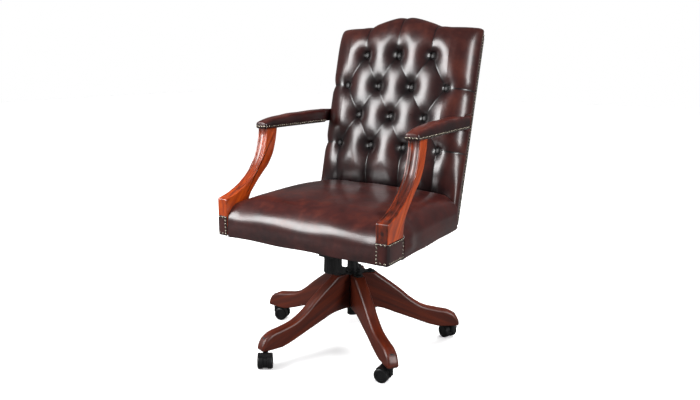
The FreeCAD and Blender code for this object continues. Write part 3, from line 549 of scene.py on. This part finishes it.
def make_patches():
    """Leather over the foot of each arm support: a strip that follows the front, a rounded corner and the
    outer side in plan, swelled 2 mm between its nailed edges and closed behind by a flat lining."""
    inner = FRONT_HALF - ARM_THICK
    rear = FRONT_Y + PATCH_DEPTH
    corner = 7.0
    a = np.linspace(0, math.pi / 2, 14)
    arc = np.stack([FRONT_HALF - corner + corner * np.sin(a), FRONT_Y + corner - corner * np.cos(a)], 1)
    plan = np.vstack([[(inner, FRONT_Y)], arc, [(FRONT_HALF, rear)]])
    plan = even(plan, 110)
    step = unit(np.gradient(plan, axis=0))
    out = np.stack([step[:, 1], -step[:, 0]], 1)
    length = np.linspace(0, 1, len(plan))
    corner_at = ARM_THICK / (ARM_THICK + PATCH_DEPTH)
    up = np.linspace(0, 1, 46)
    v, h = np.meshgrid(up, length, indexing="ij")
    face = np.where(h < corner_at, h / corner_at, (h - corner_at) / (1 - corner_at))
    swell = np.sin(np.clip(v, 0, 1) * math.pi) ** 0.5 * np.sin(np.clip(face, 0, 1) * math.pi) ** 0.5
    edge = np.minimum(np.minimum(v, 1 - v) * 61, np.minimum(h, 1 - h) * 130)
    lift = 0.3 + 1.7 * ease(edge / 2.0) + 1.5 * swell
    z = SEAT_BOTTOM - 2.5 + v * (PATCH_TOP - SEAT_BOTTOM + 2.5)
    x = plan[None, :, 0] + out[None, :, 0] * lift
    y = plan[None, :, 1] + out[None, :, 1] * lift
    face_points = np.stack([x, y, z], -1)
    under = face_points.copy()
    under[..., 0] = plan[None, :, 0] - out[None, :, 0] * 0.4
    under[..., 1] = plan[None, :, 1] - out[None, :, 1] * 0.4
    rows, columns = z.shape
    count = rows * columns
    faces = grid_faces(rows, columns).tolist()
    faces += (grid_faces(rows, columns)[:, ::-1] + count).tolist()
    rim = rim_of(rows, columns)
    rim_next = np.roll(rim, -1)
    faces += np.stack([rim, rim_next, rim_next + count, rim + count], 1).tolist()
    rub = np.concatenate([(0.25 + 0.45 * swell).ravel(), np.zeros(count)])
    both = np.concatenate([face_points.reshape(-1, 3), under.reshape(-1, 3)])
    for name, place in both_sides(both):
        patch = piece("corner_patch_%s_leather" % name, place, faces, "seat", trim_leather,
                      ("corner_patch_" + name,), 60, {"rub": rub})


# ---- seat ------------------------------------------------------------------

def seat_top(x, y):
    """Height of the seat's leather over the plan: a superellipse rise from the edge to the crown, 120 mm in,
    less a slow fall towards the sides and long shallow waves."""
    edge = np.minimum.reduce([arm_plane(y) - np.abs(x), y - FRONT_Y, SEAT_REAR_Y + 40 - y])
    rise = (1 - np.clip(1 - edge / 120.0, 0, 1) ** 2.2) ** (1 / 2.2)
    wave = 1.6 * np.sin(x * 0.021 + 0.6) * np.sin(y * 0.017 + 0.4) + 1.0 * np.sin(x * 0.043 + y * 0.011)
    dome = 8 * (x / 280) ** 2 + 9 * ((y + 20) / 200) ** 2
    return 434 + (90 - dome + wave) * rise


def seat_outline(count):
    """Plan of the seat as a closed loop, with rounded rear corners."""
    front = arm_plane(FRONT_Y)
    rear = arm_plane(SEAT_REAR_Y)
    loop = np.array([(0, FRONT_Y), (front - 6, FRONT_Y), (front, FRONT_Y + 6), (rear, SEAT_REAR_Y - 6),
                     (rear - 6, SEAT_REAR_Y), (-rear + 6, SEAT_REAR_Y), (-rear, SEAT_REAR_Y - 6),
                     (-front, FRONT_Y + 6), (-front + 6, FRONT_Y), (0, FRONT_Y)], float)
    return even(loop, count + 1)[:-1]


def clear_of_posts(points, gap=0.6):
    """Push points out of the arm supports' square feet, to whichever inner face is nearer."""
    p = points.copy()
    x, y = np.abs(p[..., 0]), p[..., 1]
    into_x = x - (arm_plane(y) - ARM_THICK - gap)
    into_y = (FRONT_Y + PATCH_DEPTH + gap) - y
    inside = (into_x > 0) & (into_y > 0)
    by_x = inside & (into_x <= into_y)
    by_y = inside & ~by_x
    p[..., 0] = np.where(by_x, np.sign(p[..., 0]) * (x - into_x), p[..., 0])
    p[..., 1] = np.where(by_y, y + into_y, p[..., 1])
    return p


def make_seat():
    """Seat cushion: rings of the plan outline drawn in towards the middle carry the top's height; below the
    top's edge they go straight down the sides, swelled 1.2 mm, turn under the frame and close inside it."""
    loop = seat_outline(420)
    centre = np.array([0.0, -50.0])
    share = np.concatenate([np.linspace(0.0, 0.80, 40)[:-1] ** 0.85, 1 - 0.2 * (1 - np.linspace(0, 1, 34)) ** 2.0])
    share = np.unique(np.clip(share, 0, 1))
    plan = centre + (loop - centre)[None] * share[:, None, None]
    x, y = plan[..., 0], plan[..., 1]
    top = np.stack([x, y, seat_top(x, y)], -1)
    normal = outward(loop)
    fall = np.linspace(0, 1, 22)[1:]
    puff = 1.2 * np.sin(fall * math.pi * 0.97) ** 1.6
    side_xy = loop[None] + normal[None] * puff[:, None, None]
    hang = 1.2 * np.sin(loop[:, 0] * 0.028 + 0.5) + 0.8 * np.sin(loop[:, 1] * 0.035)
    bottom = SEAT_SKIRT + 1.5 + hang
    edge_z = seat_top(loop[:, 0], loop[:, 1])
    side_z = edge_z[None] + (bottom - edge_z)[None] * fall[:, None]
    side = np.concatenate([side_xy, side_z[..., None]], -1)
    tuck = []
    for inset, lift in ((1.5, -1.6), (4.0, -2.0), (8.0, -0.5), (12.0, 1.6), (26.0, 2.5)):
        ring = loop - normal * inset
        tuck.append(np.column_stack([ring, bottom + lift]))
    # inside the frame it closes level with the webbing board
    level = np.full(len(loop), SEAT_HOLLOW)
    raised = [np.column_stack([loop - normal * 34, level]),
              np.column_stack([centre + (loop - centre) * 0.05, level])]
    grid = np.concatenate([top, side, np.array(tuck), np.array(raised)])
    # it sits in slow waves along its front edge
    front = ease((-240 - grid[..., 1]) / 40) * np.exp(-((grid[..., 2] - 478) / 30) ** 2)
    front *= ease((270 - np.abs(grid[..., 0])) / 40)
    grid[..., 1] += FRONT_WAVE * front * np.sin(grid[..., 0] * 0.023 + 1.1)
    # the leather puffs out just behind each arm support, where the wood stops pressing on it
    z = grid[..., 2]
    behind = np.exp(-((grid[..., 1] + 176) / 36) ** 2) * ease((np.abs(grid[..., 0]) - 200) / 100)
    behind *= ease((z - 390) / 30) * ease((525 - z) / 40)
    grid[..., 0] += np.sign(grid[..., 0]) * POST_PUFF * behind
    grid = clear_of_posts(grid)
    faces = capped_faces(*grid.shape[:2], first=False)
    # the leather is drawn darker down the sides and lighter over the top
    height = np.clip((grid[..., 2] - 400) / 110, 0, 1)
    rub = 0.50 + 0.18 * height
    seat = piece("seat_cushion_leather", grid.reshape(-1, 3), faces, "seat", seat_leather,
                 ("seat_cushion",), 70, {"rub": rub.ravel()})


# ---- back ------------------------------------------------------------------

def crest(x):
    """Rise of the shaped top over its corners: a squared cosine across its middle."""
    return BACK_CREST * np.cos(np.clip(np.abs(x) / CREST_HALF, 0, 1) * math.pi / 2) ** 2


def top_edge(x, half=BACK_HALF):
    """Length up to the top edge of a back of this half width, with its corners rounded."""
    over = np.clip(np.abs(x) - (half - BACK_CORNER), 0, BACK_CORNER)
    return BACK_SHOULDER + crest(x) - (BACK_CORNER - np.sqrt(BACK_CORNER ** 2 - over ** 2))


def button_places():
    """Across and up for each button: three and four to a row in turn."""
    places = []
    for row, up in enumerate(BUTTON_ROWS):
        count = 3 if row % 2 == 0 else 4
        places += [((i - (count - 1) / 2) * BUTTON_PITCH, up) for i in range(count)]
    return places


def pleat_depth(share, start, middle, end, sharpness=2.6):
    """Depth along a pleat: the middle value, rising to each end's own value as a power of the way there."""
    towards_start = np.clip(1 - 2 * share, 0, 1) ** sharpness
    towards_end = np.clip(2 * share - 1, 0, 1) ** sharpness
    return middle + (start - middle) * towards_start + (end - middle) * towards_end


def tufting(rows, columns, heights, depth):
    """How deep the leather is drawn in, as a blown-up skin. Pleats and buttons are held at their depths, and
    each round moves every other point past its neighbours' mean less a little air pressure, in two turns like
    the squares of a chessboard, but never out past the cover's own outline. A diagonal pleat runs along the
    grid's own diagonal, and the others along its rows and columns."""
    held = np.full((rows, columns), -1.0)
    middle = columns // 2
    places = [[(middle + round(x / ACROSS_STEP), int(np.argmin(np.abs(heights - level))))
               for x, up in button_places() if up == level] for level in BUTTON_ROWS]
    bottom = {c: depth[c] - WELL_DEPTH for row in places for c, _ in row}

    def hold(c0, r0, c1, r1, start, mid, end, sharpness=2.6):
        share = np.linspace(0, 1, max(abs(c1 - c0), abs(r1 - r0)) + 1)
        c = np.round(c0 + (c1 - c0) * share).astype(int)
        r = np.round(r0 + (r1 - r0) * share).astype(int)
        held[r, c] = np.maximum(held[r, c], pleat_depth(share, start, mid, end, sharpness))

    for upper, lower in zip(places, places[1:]):
        for c0, r0 in upper:
            for c1, r1 in lower:
                if abs(c0 - c1) == abs(r0 - r1):
                    hold(c0, r0, c1, r1, bottom[c0], DIAGONAL_PLEAT, bottom[c1])
    for c, r in places[0]:
        hold(c, r, c, rows - 14, bottom[c], TOP_PLEAT, 3.0, 4.0)
    for c, r in places[3]:
        hold(c, r, c, 0, bottom[c], FOOT_PLEAT, 2.0, 3.0)
    for row in (places[1], places[3]):
        for c, r in (row[0], row[-1]):
            hold(c, r, 4 if c < middle else columns - 5, r, bottom[c], SIDE_PLEAT, 3.0, 3.0)
    # round each button the leather goes down in a bowl
    r, c = np.mgrid[0:rows, 0:columns]
    for bc, br in sum(places, []):
        away = ((c - bc) * ACROSS_STEP / WELL_HALF[0]) ** 2 + ((r - br) * UP_STEP / WELL_HALF[1]) ** 2
        held = np.where(away < 1, bottom[bc] - WELL_BOWL * away, held)
    loose = held < 0
    deep = np.where(loose, 0.0, held)
    across, along = 1 / ACROSS_STEP ** 2, 1 / UP_STEP ** 2
    total = 2 * (across + along)
    turns = [loose & ((r + c) % 2 == parity) for parity in (0, 1)]
    for _ in range(ROUNDS):
        for turn in turns:
            wide = np.pad(deep, 1, mode="edge")
            mean = (across * (wide[1:-1, :-2] + wide[1:-1, 2:]) + along * (wide[:-2, 1:-1] + wide[2:, 1:-1])) / total
            deep = np.where(turn, np.maximum(deep + OVERSHOOT * (mean - AIR / total - deep), 0.0), deep)
    return deep, ~loose


def back_grid():
    """Front of the back as a grid (up, across) of (across, depth, up): a plan section that rolls round the
    sides is carried up the back, and its depth is rolled off over the top edge."""
    middle = np.arange(-3 * CELLS, 3 * CELLS + 1) * ACROSS_STEP
    roll = smooth_line([(197.4, 104), (222, 98.5), (245, 89), (263, 76), (275, 60), (281, 43), (279, 28),
                        (EDGE_HALF, 11)], 60)[1:]
    flat_depth = 113 - 9.0 * np.clip(np.abs(middle) / 197.4, 0, 1) ** 2.2
    section = np.concatenate([np.column_stack([-roll[::-1, 0], roll[::-1, 1]]),
                              np.column_stack([middle, flat_depth]), roll])
    across, depth = section[:, 0], section[:, 1]
    spans = [np.linspace(a, b, CELLS + 1)[:-1] for a, b in zip(BUTTON_ROWS[::-1], BUTTON_ROWS[::-1][1:])]
    foot = np.linspace(-22, BUTTON_ROWS[3], FOOT_ROWS + 1)[:-1]
    fixed = np.concatenate([foot, *spans])
    top = top_edge(across)
    # over the top: (share of depth, distance below the top edge where that edge is lowest)
    roll_top = smooth_line([(1.0, 103.5), (0.985, 72), (0.945, 44), (0.87, 22), (0.77, 9), (0.63, 1.5), (0.46, -1.5),
                            (0.26, -1.0), (0.1, 3.0), (0.02, 7.0)], 200)
    roll_top = even(roll_top * np.array([110.0, 1.0]), 56) / np.array([110.0, 1.0])
    up_rows = [np.full_like(across, v) for v in fixed]
    share_rows = [np.ones_like(across) for _ in fixed]
    stretch = (top - BUTTON_ROWS[0]) / 103.5 - 1
    for share, drop in roll_top:
        up_rows.append(top - drop * (1 + stretch * ease((share - 0.45) / 0.4)))
        share_rows.append(np.full_like(across, share))
    up = np.array(up_rows)
    deep = depth[None] * np.array(share_rows)
    # towards the rear edge the sides come in, and so does what is left of them over the top
    widest = np.interp(deep, (0, 11, 24, 38, 55), (EDGE_HALF - 3, EDGE_HALF, 275, 279, BACK_HALF))
    side = np.sign(across) * np.minimum(np.abs(across), widest)
    return np.stack([side, deep, up], -1)


def grid_normals(grid):
    """Unit normals from the cross product of a grid's two gradients."""
    return unit(np.cross(np.gradient(grid, axis=1), np.gradient(grid, axis=0)))


def make_back():
    """Button back: the grid, leaned back, is drawn in along its own normals by the tufting's depth. Each arm
    presses its side in, and its foot is tucked behind the seat; a ring of points closes it behind."""
    grid = back_grid()
    flat = leaned(grid)
    normal = grid_normals(flat)
    if normal[60, normal.shape[1] // 2, 1] > 0:
        normal = -normal
    x, depth = grid[..., 0], grid[..., 1]
    rows, columns = x.shape
    deep, seam = tufting(rows, columns, grid[:FOOT_ROWS + 3 * CELLS + 1, columns // 2, 2], depth[FOOT_ROWS])
    deep *= ease((depth - 8) / 60.0)
    deep += FOOT_TUCK * np.clip((205 - grid[..., 2]) / 85, 0, 1.5) ** 2 * ease((depth - 60) / 40)
    points = flat - normal * deep[..., None]
    # arms press into the sides, and the seat stands in front of the foot
    z = points[..., 2]
    beside = ease((z - 700) / 10) * ease((768 - z) / 10)
    limit = 269.9 + (1 - beside) * 40
    points[..., 0] = np.sign(points[..., 0]) * np.minimum(np.abs(points[..., 0]), limit)
    below = seat_top(points[..., 0], np.minimum(points[..., 1], SEAT_REAR_Y)) - points[..., 2]
    step_back = np.maximum(SEAT_REAR_Y + 1.0 - points[..., 1], 0) * ease((below - 3) / 8)
    points[..., 1] += step_back
    points[..., 2] = np.maximum(points[..., 2], SEAT_SKIRT)
    count = rows * columns
    # each four-cornered face is split along its deeper diagonal, so that a pleat is one unbroken crease
    a, b, c, d = grid_faces(rows, columns).T
    flat_deep = deep.ravel()
    rising = (flat_deep[a] + flat_deep[c] >= flat_deep[b] + flat_deep[d])[:, None]
    first = np.where(rising, np.stack([a, b, c], 1), np.stack([a, b, d], 1))
    second = np.where(rising, np.stack([a, c, d], 1), np.stack([b, c, d], 1))
    faces = first.tolist() + second.tolist()
    rim = rim_of(rows, columns)
    lining = grid.reshape(-1, 3)[rim].copy()
    lining[:, 1] = 3.6
    lining[:, 0] *= 0.985
    lining[:, 2] -= np.where(lining[:, 2] > 600, 6.0, 0.0)
    behind_points = leaned(lining)
    behind_points[:, 2] = np.maximum(behind_points[:, 2], SEAT_SKIRT)
    ring = count + np.arange(len(rim))
    faces += np.stack([rim, ring, np.roll(ring, -1), np.roll(rim, -1)], 1).tolist()
    faces.append(ring.tolist())
    # painted shade: the leather is drawn darker the deeper it is drawn in, near-black in the button wells and along
    # the held pleats where shade falls; only part of this is the antiquing's real dark in the hollows
    rub = 0.72 - 0.95 * (deep / 32.0) ** 1.1 - 0.6 * seam
    rub = np.concatenate([rub.ravel(), np.zeros(len(rim))])
    back = piece("back_cushion_leather", np.vstack([points.reshape(-1, 3), behind_points]), faces, "seat",
                 back_leather, ("back_cushion",), 46, {"rub": rub})


def make_buttons():
    """Covered buttons: a dome turned from a quarter-ellipse profile, with a flat underside."""
    turn = np.linspace(0, 2 * math.pi, 24, endpoint=False)
    angle = np.linspace(0, math.pi / 2, 9)
    radius = np.concatenate([[4.0, 9.0], BUTTON_RADIUS * np.cos(angle)])
    rise = np.concatenate([[-2.5, -2.5], 4.2 * np.sin(angle)])
    one = capped_faces(len(radius), len(turn), last=False)
    points, faces = [], []
    for number, (x, up) in enumerate(button_places()):
        ring = np.stack([x + radius[:, None] * np.cos(turn), BUTTON_DEPTH + rise[:, None] + 0 * turn,
                         up + radius[:, None] * np.sin(turn)], -1)
        points.append(leaned(ring).reshape(-1, 3))
        faces += [[number * radius.size * turn.size + i for i in face] for face in one]
    points = np.vstack(points)
    # painted shade: the buttons are drawn near-black, as the shade of the deep wells they sit in
    piece("back_buttons_covered", points, faces, "seat", button_leather, ("back_buttons",), 60,
          {"rub": np.full(len(points), -0.3)})


def rear_outline(half, top_inset, count):
    """Outline of the rear face, up one side, over the shaped top and down the other."""
    x = np.linspace(-half, half, 240)
    line = np.vstack([[(-half, 0.0)], np.column_stack([x, top_edge(x, half) - top_inset]), [(half, 0.0)]])
    return even(line, count)


def make_outside_back():
    """Outside back: leather panel inside the rear outline, crowned 4 mm, closed at its edge."""
    loop = rear_outline(EDGE_HALF - 3, 12.0, 300)
    loop = np.vstack([loop, even(np.array([loop[-1], loop[0]]), 60)[1:-1]])
    centre = np.array([0.0, 320.0])
    share = np.concatenate([np.linspace(0, 0.9, 20)[:-1], 1 - 0.1 * (1 - np.linspace(0, 1, 12)) ** 2])
    plan = centre + (loop - centre)[None] * share[:, None, None]
    crown = 4.0 * (1 - share ** 6) - 0.4
    ripple = 0.5 * np.sin(plan[..., 0] * 0.022) * np.sin(plan[..., 1] * 0.017 + 0.6)
    rear = np.stack([plan[..., 0], -(crown[:, None] + ripple * (1 - share[:, None] ** 4)), plan[..., 1]], -1)
    inside = np.column_stack([loop[:, 0], np.full(len(loop), 2.8), loop[:, 1]])
    grid = np.concatenate([rear, inside[None]])
    faces = capped_faces(*grid.shape[:2], first=False)
    points = leaned(grid.reshape(-1, 3))
    points[:, 2] = np.maximum(points[:, 2], SEAT_BOTTOM)
    panel = piece("outside_back_leather", points, faces, "seat", back_leather, ("outside_back",), 60,
                  {"rub": np.full(len(points), 0.5)})


def tube_along(line, radius, sides=10, guide=(0.0, 1.0, 0.2)):
    """Tube round a line: rings of the given radius square to the line's direction, closed at both ends."""
    points = line[:, None] + rings_round(unit(np.gradient(line, axis=0)), guide, sides) * radius
    return points.reshape(-1, 3), capped_faces(len(line), sides)


def make_welt():
    """Piping sewn in where the padding meets the outside back: a 5.2 mm roll along the rear outline."""
    line = rear_outline(EDGE_HALF - 1.5, 9.0, 420)
    line = np.column_stack([line[:, 0], np.full(len(line), 1.2), line[:, 1]])
    points, faces = tube_along(leaned(line), 2.6)
    points[:, 2] = np.maximum(points[:, 2], SEAT_SKIRT + 1)
    piece("back_piping", points, faces, "seat", trim_leather, (), 60,
          {"rub": np.full(len(points), 0.35)})


# ---- nails -----------------------------------------------------------------

def nail_row(start, end):
    """Evenly pitched places from one point to another."""
    start, end = np.array(start, float), np.array(end, float)
    count = max(1, round(np.linalg.norm(end - start) / NAIL_PITCH))
    return start + (end - start) * np.linspace(0, 1, count + 1)[:, None]


def heads(places, directions):
    """Low domes of 8 sides standing at places and facing directions: three rings and a tip."""
    guide = np.where(np.abs(directions[:, 2:]) > 0.8, [[1.0, 0, 0]], [[0, 0, 1.0]])
    ring = rings_round(directions, guide, 8)
    layers = [places[:, None] + ring * NAIL_RADIUS * size + directions[:, None] * NAIL_HEIGHT * rise
              for size, rise in ((1.0, -0.25), (0.93, 0.45), (0.6, 0.88))]
    tip = places + directions * NAIL_HEIGHT
    points = np.concatenate([*layers, tip[:, None]], 1)
    i = np.arange(8)
    fan = np.column_stack([16 + i, 16 + (i + 1) % 8, np.full(8, 24)]).tolist()
    one = grid_faces(3, 8, wrap_columns=True).tolist() + fan + [list(range(7, -1, -1))]
    faces = [[v + points.shape[1] * n for v in face] for n in range(len(places)) for face in one]
    return points.reshape(-1, 3), faces


def make_nails():
    """Rows of nails along the pads' lower edges, round the corner patches and up the back's rear edges."""
    z = ARM_TOP + 8
    outer, inner, front = FRONT_HALF + 1.2, FRONT_HALF - PAD_WIDTH - 1.2, PAD_FRONT_Y - 0.2
    rows = [(nail_row((outer, front + 8, z), (outer, PAD_REAR_Y - 8, z)), (1, 0, 0)),
            (nail_row((inner, front + 8, z), (inner, 184, z)), (-1, 0, 0)),
            (nail_row((inner + 7, front, z), (outer - 7, front, z)), (0, -1, 0))]
    nail_group("arm_nails", rows)
    low, high = SEAT_BOTTOM + 4.5, PATCH_TOP - 4.5
    lift = 1.6
    outer, inner = FRONT_HALF + lift, FRONT_HALF - ARM_THICK
    front, rear = FRONT_Y - lift, FRONT_Y + PATCH_DEPTH
    rows = [(nail_row((outer, FRONT_Y + 9, low), (outer, rear - 5, low)), (1, 0, 0)),
            (nail_row((outer, FRONT_Y + 9, high), (outer, rear - 5, high)), (1, 0, 0)),
            (nail_row((outer, rear - 5, low + 10), (outer, rear - 5, high - 10)), (1, 0, 0)),
            (nail_row((inner + 5, front, low), (outer - 10, front, low)), (0, -1, 0)),
            (nail_row((inner + 5, front, high), (outer - 10, front, high)), (0, -1, 0)),
            (nail_row((inner + 5, front, low + 10), (inner + 5, front, high - 10)), (0, -1, 0))]
    nail_group("patch_nails", rows)
    up = nail_row((EDGE_HALF, 7.0, 10.0), (EDGE_HALF, 7.0, BACK_SHOULDER - BACK_CORNER))
    places = leaned(up)
    places = np.vstack([places, flipped(places)])
    directions = np.zeros_like(places)
    directions[:, 0] = np.sign(places[:, 0])
    points, faces = heads(places, directions)
    piece("back_nails_domed", points, faces, "seat", nail_metal, ("back_nails",), 80, mend=False)


def nail_group(name, rows):
    """Nail heads along rows on the left side, and their mirror image on the right."""
    places = toed_in(np.vstack([line for line, _ in rows]))
    directions = np.vstack([np.tile(np.array(way, float), (len(line), 1)) for line, way in rows])
    turn = np.array([[math.cos(TOE_IN), math.sin(TOE_IN), 0], [-math.sin(TOE_IN), math.cos(TOE_IN), 0], [0, 0, 1]])
    directions = directions @ turn
    places = np.vstack([places, flipped(places)])
    directions = np.vstack([directions, flipped(directions)])
    points, faces = heads(places, directions)
    piece(name + "_domed", points, faces, "seat", nail_metal, (name,), 80, mend=False)


# ---- underside -------------------------------------------------------------

def make_undercloth():
    """Black cloth stretched under the seat: rings from the frame's edge to the hole round the plate, sagging
    2.6 mm half way between them."""
    outer = seat_outline(240) * 0.955 + np.array([0, -2.0])
    angle = np.arctan2(outer[:, 1], outer[:, 0])
    c, s = np.cos(angle), np.sin(angle)
    reach = np.minimum(110 / np.maximum(np.abs(c), 1e-6), 155 / np.maximum(np.abs(s), 1e-6))
    hole = np.column_stack([c * reach, s * reach])
    share = np.linspace(0, 1, 14)
    plan = outer[None] + (hole - outer)[None] * share[:, None, None]
    sag = 2.6 * np.sin(share * math.pi)
    z = SEAT_BOTTOM - 0.5 - sag
    lower = np.concatenate([plan, np.broadcast_to(z[:, None, None], plan.shape[:2] + (1,))], -1)
    upper = lower.copy()
    upper[..., 2] += 0.5
    rows, columns = lower.shape[:2]
    count = rows * columns
    sheet = grid_faces(rows, columns, wrap_columns=True)
    faces = sheet[:, ::-1].tolist() + (sheet + count).tolist()
    for ring in (np.arange(columns), np.arange(columns) + (rows - 1) * columns):
        after = np.roll(ring, -1)
        faces += np.stack([ring, after, after + count, ring + count], 1).tolist()
    points = np.concatenate([lower.reshape(-1, 3), upper.reshape(-1, 3)])
    cloth = piece("undercloth_stretched", points, faces, "seat", under_cloth, ("dust_cover",), 70)


def make_tilt_spring():
    """Coil of 5 mm wire, four turns round the tension bolt from the plate up to the washer."""
    t = np.linspace(0, 1, 97)
    turn = t * 8 * math.pi
    line = np.column_stack([16 * np.cos(turn), -115 + 16 * np.sin(turn), 391.9 + 37.7 * t])
    points, faces = tube_along(line, 2.3, 8, (0.0, 0.0, 1.0))
    spring = piece("tilt_spring_coil", points, faces, "mechanism", bright_steel,
                   ("tilt_spring",), 60)
    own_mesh(spring)


# ---- carried-over solids ---------------------------------------------------

def finish_solids():
    """Give every solid that stays in view its slot's real finish."""
    slots = {part["node"]: part["material_slot"] for part in frame["record"]["subparts"]}
    for name, obj in frame["nodes"].items():
        if not obj.hide_render:
            for place in obj.material_slots:
                place.material = SLOT_MATERIALS[slots[name]]


# ---- camera, light and floor -----------------------------------------------

def make_camera():
    """Camera looking at the target from azimuth and elevation, rolled a little about its own axis."""
    azimuth, elevation, roll = math.radians(33.7), math.radians(11.9), math.radians(0.2)
    target, distance = Vector((-0.0033, -0.0133, 0.4872)), 2.2746
    back = Vector((math.sin(azimuth) * math.cos(elevation), -math.cos(azimuth) * math.cos(elevation),
                   math.sin(elevation)))
    right = (-back).cross(Vector((0, 0, 1))).normalized()
    up = right.cross(-back)
    side = right * math.cos(roll) + up * math.sin(roll)
    rise = -right * math.sin(roll) + up * math.cos(roll)
    data = bpy.data.cameras.new("camera")
    data.lens = 35.8
    data.sensor_width = 36.0
    camera = bpy.data.objects.new("camera", data)
    place = target + back * distance
    camera.matrix_world = Matrix(((side.x, rise.x, back.x, place.x), (side.y, rise.y, back.y, place.y),
                                  (side.z, rise.z, back.z, place.z), (0, 0, 0, 1)))
    bpy.context.scene.collection.objects.link(camera)
    bpy.context.scene.camera = camera


def soft_box(name, azimuth, elevation, distance, wide, high, power, aim=(0.0, 0.0, 0.65)):
    """Rectangular studio light turned towards a point on the chair."""
    data = bpy.data.lights.new(name, "AREA")
    data.shape = "RECTANGLE"
    data.size = wide
    data.size_y = high
    data.energy = power
    light = bpy.data.objects.new(name, data)
    a, e = math.radians(azimuth), math.radians(elevation)
    way = Vector((math.sin(a) * math.cos(e), -math.cos(a) * math.cos(e), math.sin(e)))
    light.location = Vector(aim) + way * distance
    light.rotation_euler = way.to_track_quat("Z", "Y").to_euler()
    bpy.context.scene.collection.objects.link(light)
    return light


def make_studio():
    """White ground and air for the camera, dim to every other ray, with three soft boxes and a matt fill."""
    scene = bpy.context.scene
    world = bpy.data.worlds.new("white_studio")
    world.use_nodes = True
    air = world.node_tree
    seen = add(air, "LightPath", out="Is Camera Ray")
    fill(air, air.nodes["Background"], Color=colour("#ffffff"),
         Strength=add(air, "MapRange", Value=seen, To_Min=0.12, To_Max=1.0))
    scene.world = world
    scene.view_settings.view_transform = "Standard"
    scene.view_settings.look = "None"
    mesh = bpy.data.meshes.new("floor")
    side = 12.0
    mesh.from_pydata([(-side, -side, 0), (side, -side, 0), (side, side, 0), (-side, side, 0)], [], [(0, 1, 2, 3)])
    floor = bpy.data.objects.new("floor", mesh)
    material, tree, shader = new_material("matt_white_floor", "#f6f6f6")
    # the floor is lit to white, but throws little light back up at the chair
    seen = add(tree, "LightPath", out="Is Camera Ray")
    fill(tree, shader, Roughness=0.9, Specular_IOR_Level=0.1, Emission_Color=colour("#ffffff"),
         Base_Color=add(tree, "Mix", {"data_type": "RGBA"}, 2, in_0=seen, in_6=colour("#5a5a5a"),
                        in_7=colour("#fafafa")),
         Emission_Strength=add(tree, "MapRange", Value=seen, To_Min=0.0, To_Max=0.25))
    mesh.materials.append(material)
    scene.collection.objects.link(floor)
    soft_box("window_left", -38, 22, 2.6, 1.25, 1.5, 90)
    soft_box("window_right", 78, 18, 2.8, 0.8, 1.7, 60)
    behind = soft_box("window_behind", 170, 35, 2.8, 2.0, 2.0, 110)
    behind.visible_glossy = False
    # daylight from all over the ceiling fills the shadows; being matt and wide, it leaves no highlight
    sky = bpy.data.lights.new("ceiling", "SUN")
    sky.energy = 2.2
    sky.angle = math.radians(100)
    ceiling = bpy.data.objects.new("ceiling", sky)
    ceiling.visible_glossy = False
    scene.collection.objects.link(ceiling)


for make in (make_camera, make_studio, make_legs, make_supports, make_pads, make_patches, make_seat, make_back,
             make_buttons, make_outside_back, make_welt, make_nails, make_undercloth, make_tilt_spring, finish_solids):
    make()
